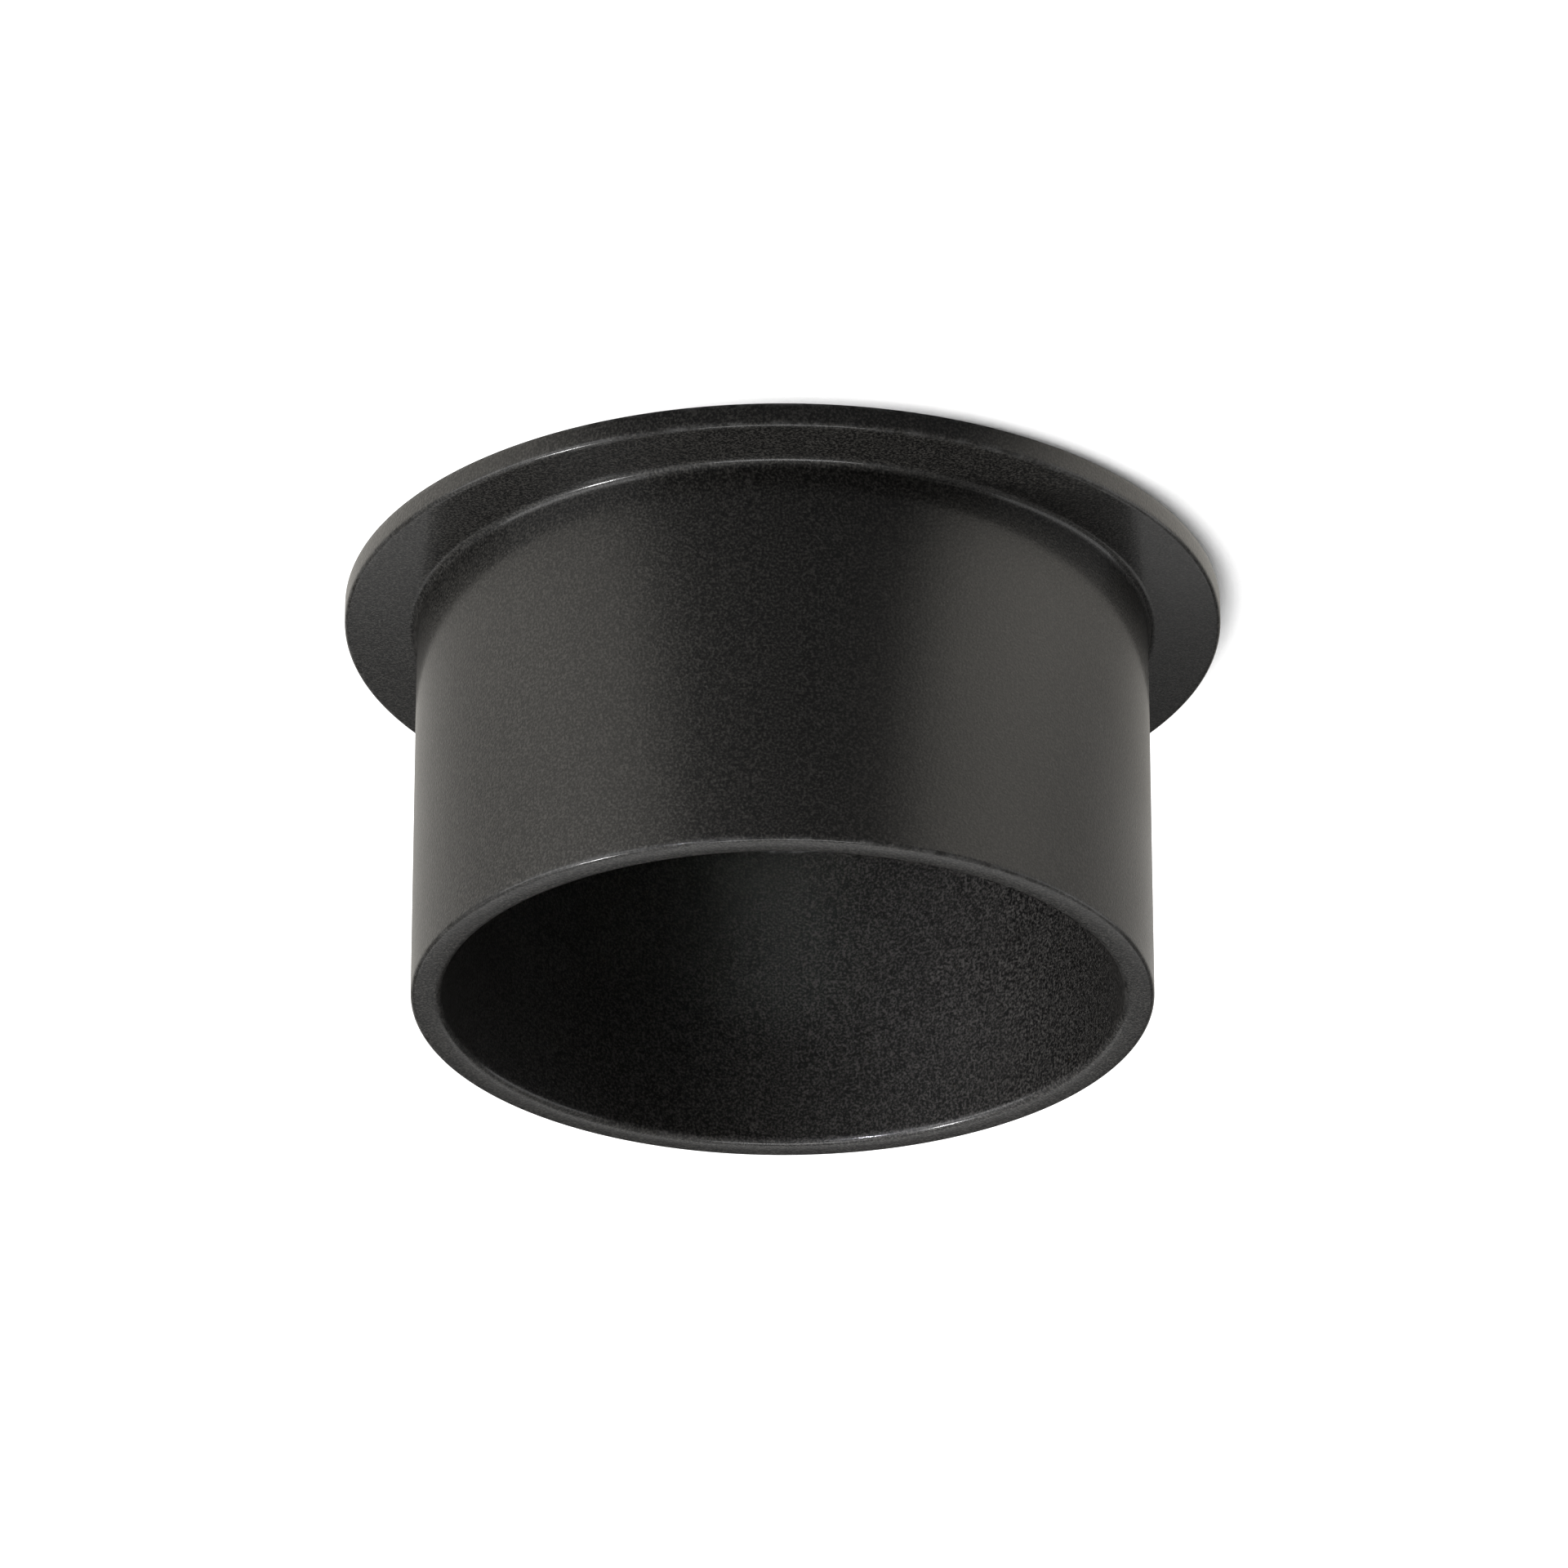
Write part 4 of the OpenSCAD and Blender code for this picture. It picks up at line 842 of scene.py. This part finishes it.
SLEEVE_ROUND = 0.7
GROOVES_AT = (24.0, 26.0, 28.0, 30.0)
GROOVE_W = 0.9
GROOVE_DEPTH = 0.35
STRIP_GREY = (0.36, 0.36, 0.37, 1.0)
WIRE_GREY = (0.42, 0.42, 0.43, 1.0)
RUBBER_BLACK = (0.016, 0.016, 0.016, 1.0)
DUST = (0.09, 0.09, 0.088, 1.0)

strip_steel = plated_steel("strip_steel", STRIP_GREY, roughness=0.36, along=(0.06, 1.0, 1.0), cloudiness=0.08)
wire_steel = plated_steel("drawn_wire", WIRE_GREY, roughness=0.28, along=(1.0, 0.3, 1.0))
for node in ("clip_bracket_left", "clip_bracket_right", "clip_arm_left", "clip_arm_right"):
    dressed(node, strip_steel)


def wire(path, radius, reference, sides=14):
    """A round wire along a path: at each point a circle square to the path's direction, its first side the
    reference direction made square to it."""
    path = np.asarray(path, float)
    along = np.gradient(path, axis=0)
    along /= np.linalg.norm(along, axis=1, keepdims=True)
    side = np.asarray(reference, float) - (along @ np.asarray(reference, float))[:, None] * along
    side /= np.linalg.norm(side, axis=1, keepdims=True)
    other = np.cross(along, side)
    angle = np.linspace(0, 2 * math.pi, sides, endpoint=False)
    points = (path[:, None] + radius * (np.cos(angle)[None, :, None] * side[:, None]
                                        + np.sin(angle)[None, :, None] * other[:, None])).reshape(-1, 3)
    return points, tube_faces(len(path), sides)


def spring_line():
    """The spring's centre line about its pin: a foot up from the bracket, a coil as (radius times cosine,
    advance, radius times sine), a straight leg along the arm, and a bent tip down to the arm's web."""
    tilt = math.radians(ARM_TILT)
    half = WIRE_PITCH * COIL_SWEEP / 720
    along = np.array([math.cos(tilt), 0.0, -math.sin(tilt)])
    up = np.array([math.sin(tilt), 0.0, math.cos(tilt)])
    share = np.linspace(0, 1, 180)
    angle = np.radians(180 - COIL_SWEEP * share)
    coil = np.column_stack([COIL_R * np.cos(angle), half * (2 * share - 1), COIL_R * np.sin(angle)])
    foot = np.column_stack([np.full(6, -COIL_R), np.full(6, -half), np.linspace(SPRING_FOOT, FOOT_TOP_Z, 6)])
    knee = along * (LEG_REACH - LEG_BEND) + up * (COIL_R - LEG_BEND) + (0, half, 0)
    bend = np.radians(np.linspace(90, 0, 9))[:, None]
    tip = knee + LEG_BEND * (along * np.cos(bend) + up * np.sin(bend))
    end = np.linspace(0, 1, 5)[1:, None] * (up * (SPRING_WEB - COIL_R + LEG_BEND)) + tip[-1]
    leg = coil[-1] + np.linspace(0, 1, 12)[1:-1, None] * (tip[0] - coil[-1])
    return np.concatenate([foot, coil, leg, tip, end]), half


def sleeve_shape():
    """The soft sleeve, before the arm's tilt: a rounded section carried along X. Its half width follows the
    round nose as sqrt(R^2 - (x - c)^2), and its underside lifts by a raised cosine at each grip groove."""
    centre = SLEEVE_END - SLEEVE_HALF
    turn = np.radians(np.linspace(0, 86, 25))
    along = np.concatenate([np.arange(SLEEVE_FROM, centre - 0.05, 0.1), centre + SLEEVE_HALF * np.sin(turn)])
    width = np.sqrt(SLEEVE_HALF ** 2 - np.maximum(along - centre, 0) ** 2)
    corner = np.minimum(SLEEVE_ROUND, 0.9 * width)
    off = np.abs(along[:, None] - np.array(GROOVES_AT)) / GROOVE_W
    lift = GROOVE_DEPTH * np.where(off < 0.5, 0.5 + 0.5 * np.cos(2 * math.pi * off), 0).sum(axis=1)
    angle = np.radians(np.concatenate([np.linspace(start, start + 90, 6) for start in (0, 90, 180, 270)]))
    right = np.repeat([1, -1, -1, 1], 6)
    upper = np.repeat([1, 1, -1, -1], 6)
    half_h = (SLEEVE_TOP - SLEEVE_LOW) / 2
    across = right * (width - corner)[:, None] + corner[:, None] * np.cos(angle)
    level = upper * (half_h - corner)[:, None] + corner[:, None] * np.sin(angle)
    level = level + np.where(upper < 0, lift[:, None], 0) + (SLEEVE_TOP + SLEEVE_LOW) / 2
    count, sides = across.shape
    points = np.stack([np.broadcast_to(along[:, None], across.shape), across, level], axis=-1).reshape(-1, 3)
    return points, tube_faces(count, sides)


def rubber(name, colour):
    """Soft moulded rubber: a fine matt skin with a bloom of paler dust where it has been handled."""
    finish, add = new_finish(name)
    place = object_place(add)
    dust = mapped(add, noise(add, place, 260.0, 5.0, 0.7), 0.5, 0.8, 0.0, 0.35)
    surfaced(add, Base_Color=blended(add, dust, colour, DUST), Roughness=0.7, Specular_IOR_Level=0.35,
             Sheen_Weight=0.2, Normal=bumped(add, noise(add, place, 3200.0, 3.0), 0.4, 0.00004))
    return finish


def pin_shape(radius, half, head, head_r):
    """A pin about the origin along Y: a shank, and at each end a thin round head with a softened rim."""
    rows = [(head_r - 0.15, -half - head), (head_r, -half - head + 0.12), (head_r, -half), (radius, -half),
            (radius, half), (head_r, half), (head_r, half + head - 0.12), (head_r - 0.15, half + head)]
    return swung(turned(rows, 48, closed=False), "X", -90)


def on_clip(shape, turn):
    """Places a shape drawn about a clip's pin: out to the pin, and round to the left or the right."""
    return swung(shifted(shape, x=PIN_X, z=PIN_Z), "Z", turn)


sleeve_rubber = rubber("sleeve_rubber_black", RUBBER_BLACK)
spring_points, spring_half = spring_line()
for side, turn in (("left", 180), ("right", 0)):
    pin = on_clip(pin_shape(CLIP_PIN_R, CLIP_HALF_W, head=0.5, head_r=1.65), turn)
    fitted("hinge_pin_" + side, pin, zinc, "zinc_steel", "root", "clip_pin_" + side)
    sleeve = on_clip(swung(sleeve_shape(), "Y", ARM_TILT), turn)
    fitted("grip_sleeve_" + side, sleeve, sleeve_rubber, "sleeve_rubber",
           "clip_" + side, "clip_sleeve_" + side)
    coil = on_clip(wire(spring_points, WIRE_R, (0, 1, 0)), turn)
    spring = fitted("torsion_spring_" + side, coil, wire_steel, "spring_wire", None, "clip_spring_" + side)
    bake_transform(spring)
bracket_screws = screw_set(length=4.0, reach=CLIP_SCREW_X, seat=CLIP_SCREW_Z, turns=(0, 180), head_h=1.3)
fitted("bracket_screw_pair", bracket_screws, zinc, "zinc_steel", "root", "bracket_screws")

# --------------------
# Driver case: a moulded D-shaped case with the driver potted in it and the terminals on top.
# Three screws hold it on the heat sink's posts, and a hinged lid with a finger tab shuts it.
POST_AT = 29.4
POST_TURNS = (90, 210, 330)
CASE_SEAT = 59.4
LID_HINGE_Y = -16.2
LID_HINGE_Z = 80.55
LID_PIN_R = 1.0
LID_PIN_HALF = 19.9
BAY_X = 17.0
BAY_FRONT = -11.5
BAY_BACK = 14.5
CASE_TOP = 79.3
SEAL_T = 0.8
CASE_BLACK = (0.024, 0.024, 0.025, 1.0)

case_plastic = moulded_plastic("case_moulding", CASE_BLACK, grain=1500.0, depth=0.00006, roughness=0.52)
dressed("driver_case", case_plastic)
dressed("terminal_lid", case_plastic)
case_screws = screw_set(length=10.0, reach=POST_AT, seat=CASE_SEAT, turns=POST_TURNS)
fitted("case_screw_set", case_screws, zinc, "zinc_steel", "root", "case_screws")
lid_pin = swung(pin_shape(LID_PIN_R, LID_PIN_HALF, head=0.3, head_r=LID_PIN_R), "Z", 90)
fitted("lid_hinge_pin", shifted(lid_pin, y=LID_HINGE_Y, z=LID_HINGE_Z), zinc, "zinc_steel", "root", "lid_pin")


def bay_outline(grow):
    """The terminal compartment's edge, grown by a distance, with small round corners."""
    half_x, half_y = BAY_X + grow, (BAY_BACK - BAY_FRONT) / 2 + grow
    return rounded_rectangle(half_x, half_y, 0.5) + (0.0, (BAY_BACK + BAY_FRONT) / 2)


fitted("lid_seal_cord", band(bay_outline(grow=2.0), bay_outline(grow=0.6), CASE_TOP, CASE_TOP + SEAL_T),
       silicone, "silicone", "lid", "lid_seal")

# --------------------
# Terminals and leads: a white screw-terminal block, brass screws, and five insulated leads.
# Brown, blue and green-yellow go down into the potting; red and black run down to the light engine.
BLOCK_BACK = 8.0
ENTRY_Z = 66.3
FLOOR_Z = 61.8
IN_BLOCK = 2.0
PAST_BLOCK = 1.0
MAINS_R = 0.8
MAINS_BEND = 2.5
FINE_R = 0.55
FINE_BEND = 1.5
DUCT_Y = 15.0
PORT_Y = 12.0
FOOT_TOP = 58.8
UNDER_PLATE = 1.2
BLOCK_WHITE = (0.72, 0.72, 0.69, 1.0)
BRASS = (0.72, 0.55, 0.26, 1.0)
POLE_X = 8.0
FINE_X = 0.7
LIVE_BROWN = (0.10, 0.035, 0.012, 1.0)
NEUTRAL_BLUE = (0.012, 0.06, 0.32, 1.0)
EARTH_GREEN = (0.03, 0.22, 0.02, 1.0)
EARTH_YELLOW = (0.75, 0.6, 0.03, 1.0)
PLUS_RED = (0.38, 0.01, 0.008, 1.0)
MINUS_BLACK = (0.012, 0.012, 0.012, 1.0)

block_white = moulded_plastic("block_white", BLOCK_WHITE, grain=1800.0, depth=0.00003, roughness=0.38,
                              edge_paling=0.3, edge_lift=0.05)
dressed("terminal_block", block_white)
brass = plated_steel("terminal_brass_plate", BRASS, roughness=0.26, along=(1.0, 0.2, 1.0), cloudiness=0.16)
dressed("terminal_screws", brass)


def lead_jacket(name, colour, stripe=None):
    """Glossy insulation, drawn lengthways: faint lines along the lead, and a stripe on its right half."""
    finish, add = new_finish(name)
    place = object_place(add)
    drawn = add("ShaderNodeMapping", {"Vector": place, "Scale": (1.0, 1.0, 0.05)})
    line = noise(add, drawn.outputs[0], 5000.0, 2.0)
    tint = toned(add, colour, mapped(add, line, 0.0, 1.0, 0.85, 1.15))
    if stripe:
        right = maths(add, "GREATER_THAN", split(add, place)["X"], 0.0)
        tint = blended(add, right, tint, stripe)
    surfaced(add, Base_Color=tint, Roughness=mapped(add, line, 0.0, 1.0, 0.28, 0.42),
             Normal=bumped(add, line, 0.2, 0.00002))
    return finish


# each lead is its (Y, Z) line at one X: straight, round a bend and straight again
bend = np.radians(np.linspace(90, 0, 13))
down = BLOCK_BACK + PAST_BLOCK
rise = ENTRY_Z - MAINS_BEND
mains_line = np.concatenate([
    np.column_stack([np.linspace(BLOCK_BACK - IN_BLOCK, down, 6)[:-1], np.full(5, ENTRY_Z)]),
    np.column_stack([down + MAINS_BEND * np.cos(bend), rise + MAINS_BEND * np.sin(bend)]),
    np.column_stack([np.full(4, down + MAINS_BEND), np.linspace(rise, FLOOR_Z, 5)[1:]]),
])
level = PLATE_Z - UNDER_PLATE
turn_in = np.radians(np.linspace(0, -90, 13))
fine_line = np.concatenate([
    np.column_stack([np.full(12, DUCT_Y), np.linspace(FOOT_TOP, level + FINE_BEND, 13)[:-1]]),
    np.column_stack([DUCT_Y + FINE_BEND * (np.cos(turn_in) - 1), level + FINE_BEND * (1 + np.sin(turn_in))]),
    np.column_stack([np.linspace(DUCT_Y - FINE_BEND, PORT_Y, 4)[1:], np.full(3, level)]),
])
mains, fine = (mains_line, MAINS_R, 20), (fine_line, FINE_R, 16)
for piece, node, slot, (line, radius, sides), x, colour, stripe in (
        ("mains_wire_live", "lead_live", "lead_brown", mains, POLE_X, LIVE_BROWN, None),
        ("mains_wire_neutral", "lead_neutral", "lead_blue", mains, -POLE_X, NEUTRAL_BLUE, None),
        ("mains_wire_earth", "lead_earth", "lead_green", mains, 0.0, EARTH_GREEN, EARTH_YELLOW),
        ("engine_wire_plus", "lead_led_plus", "lead_red", fine, FINE_X, PLUS_RED, None),
        ("engine_wire_minus", "lead_led_minus", "lead_black", fine, -FINE_X, MINUS_BLACK, None)):
    path = np.column_stack([np.full(len(line), x), line])
    jacket = lead_jacket("jacket_" + piece.split("_")[-1], colour, stripe)
    fitted(piece, wire(path, radius, (1, 0, 0), sides), jacket, slot, "root", node)

# --------------------
# Cable gland: a black polyamide body through the case's flat side, its locknut, seal and dome nut.
# The dome nut has six flats under a turned dome, and its rubber seal shows in its mouth.
GLAND_FACE = -14.0
GLAND_Z = 70.5
GLAND_FLAT = 7.5
NUT_FROM = 4.4
NUT_SHOULDER = 12.9
NUT_END = 16.4
NUT_CHAMFER = 0.35
DOME_R = 5.0
DOME_OUT = 2.1
DOME_UP = 3.2
MOUTH_R = 3.6
COLLET_R = 5.6
COLLET_END = 11.9
CABLE_R = 3.2
RING_OUT = 4.15
RING_LOW = 4.0
RING_TOP = 11.5
POLYAMIDE_BLACK = (0.03, 0.03, 0.031, 1.0)
GLAND_RUBBER = (0.014, 0.014, 0.014, 1.0)

polyamide = moulded_plastic("gland_polyamide", POLYAMIDE_BLACK, grain=900.0, depth=0.00003, roughness=0.36,
                            edge_paling=0.5, edge_lift=0.07)
dressed("gland_body", polyamide)
dressed("gland_locknut", polyamide)


def on_gland(shape):
    """Places a shape drawn along +Z on the gland's axis, which points out of the case along -Y."""
    return shifted(swung(shape, "X", 90), y=GLAND_FACE, z=GLAND_Z)


# the nut's rings: six flats with their chamfers, an elliptic dome, the mouth, and the bore over the collet
dome_turn = np.radians(np.linspace(5, 80, 8))
nut_rows = np.concatenate([
    [(COLLET_R, NUT_FROM), (GLAND_FLAT - NUT_CHAMFER, NUT_FROM), (GLAND_FLAT, NUT_FROM + NUT_CHAMFER),
     (GLAND_FLAT, NUT_SHOULDER - 0.4), (GLAND_FLAT - 0.4, NUT_SHOULDER)],
    np.column_stack([DOME_R + DOME_OUT * np.cos(dome_turn), NUT_SHOULDER + DOME_UP * np.sin(dome_turn)]),
    [(MOUTH_R + 1.0, NUT_END), (MOUTH_R + 0.3, NUT_END), (MOUTH_R, NUT_END - 0.3), (MOUTH_R, COLLET_END),
     (COLLET_R, COLLET_END)],
])
six = np.zeros(len(nut_rows))
six[1:5] = (1.0, 1.0, 1.0, 0.6)
nut_shape = on_gland(turned(nut_rows, 144, six_sided=six))
fitted("gland_dome_nut", nut_shape, polyamide, "gland_plastic", "root", "gland_nut", crease=30)
seal_rubber = rubber("gland_rubber", GLAND_RUBBER)
seal_ring = on_gland(turned(rounded_box(CABLE_R, RING_OUT, RING_LOW, RING_TOP, edge=0.3), 72))
fitted("gland_seal_ring", seal_ring, seal_rubber, "seal_rubber", "root", "gland_seal")
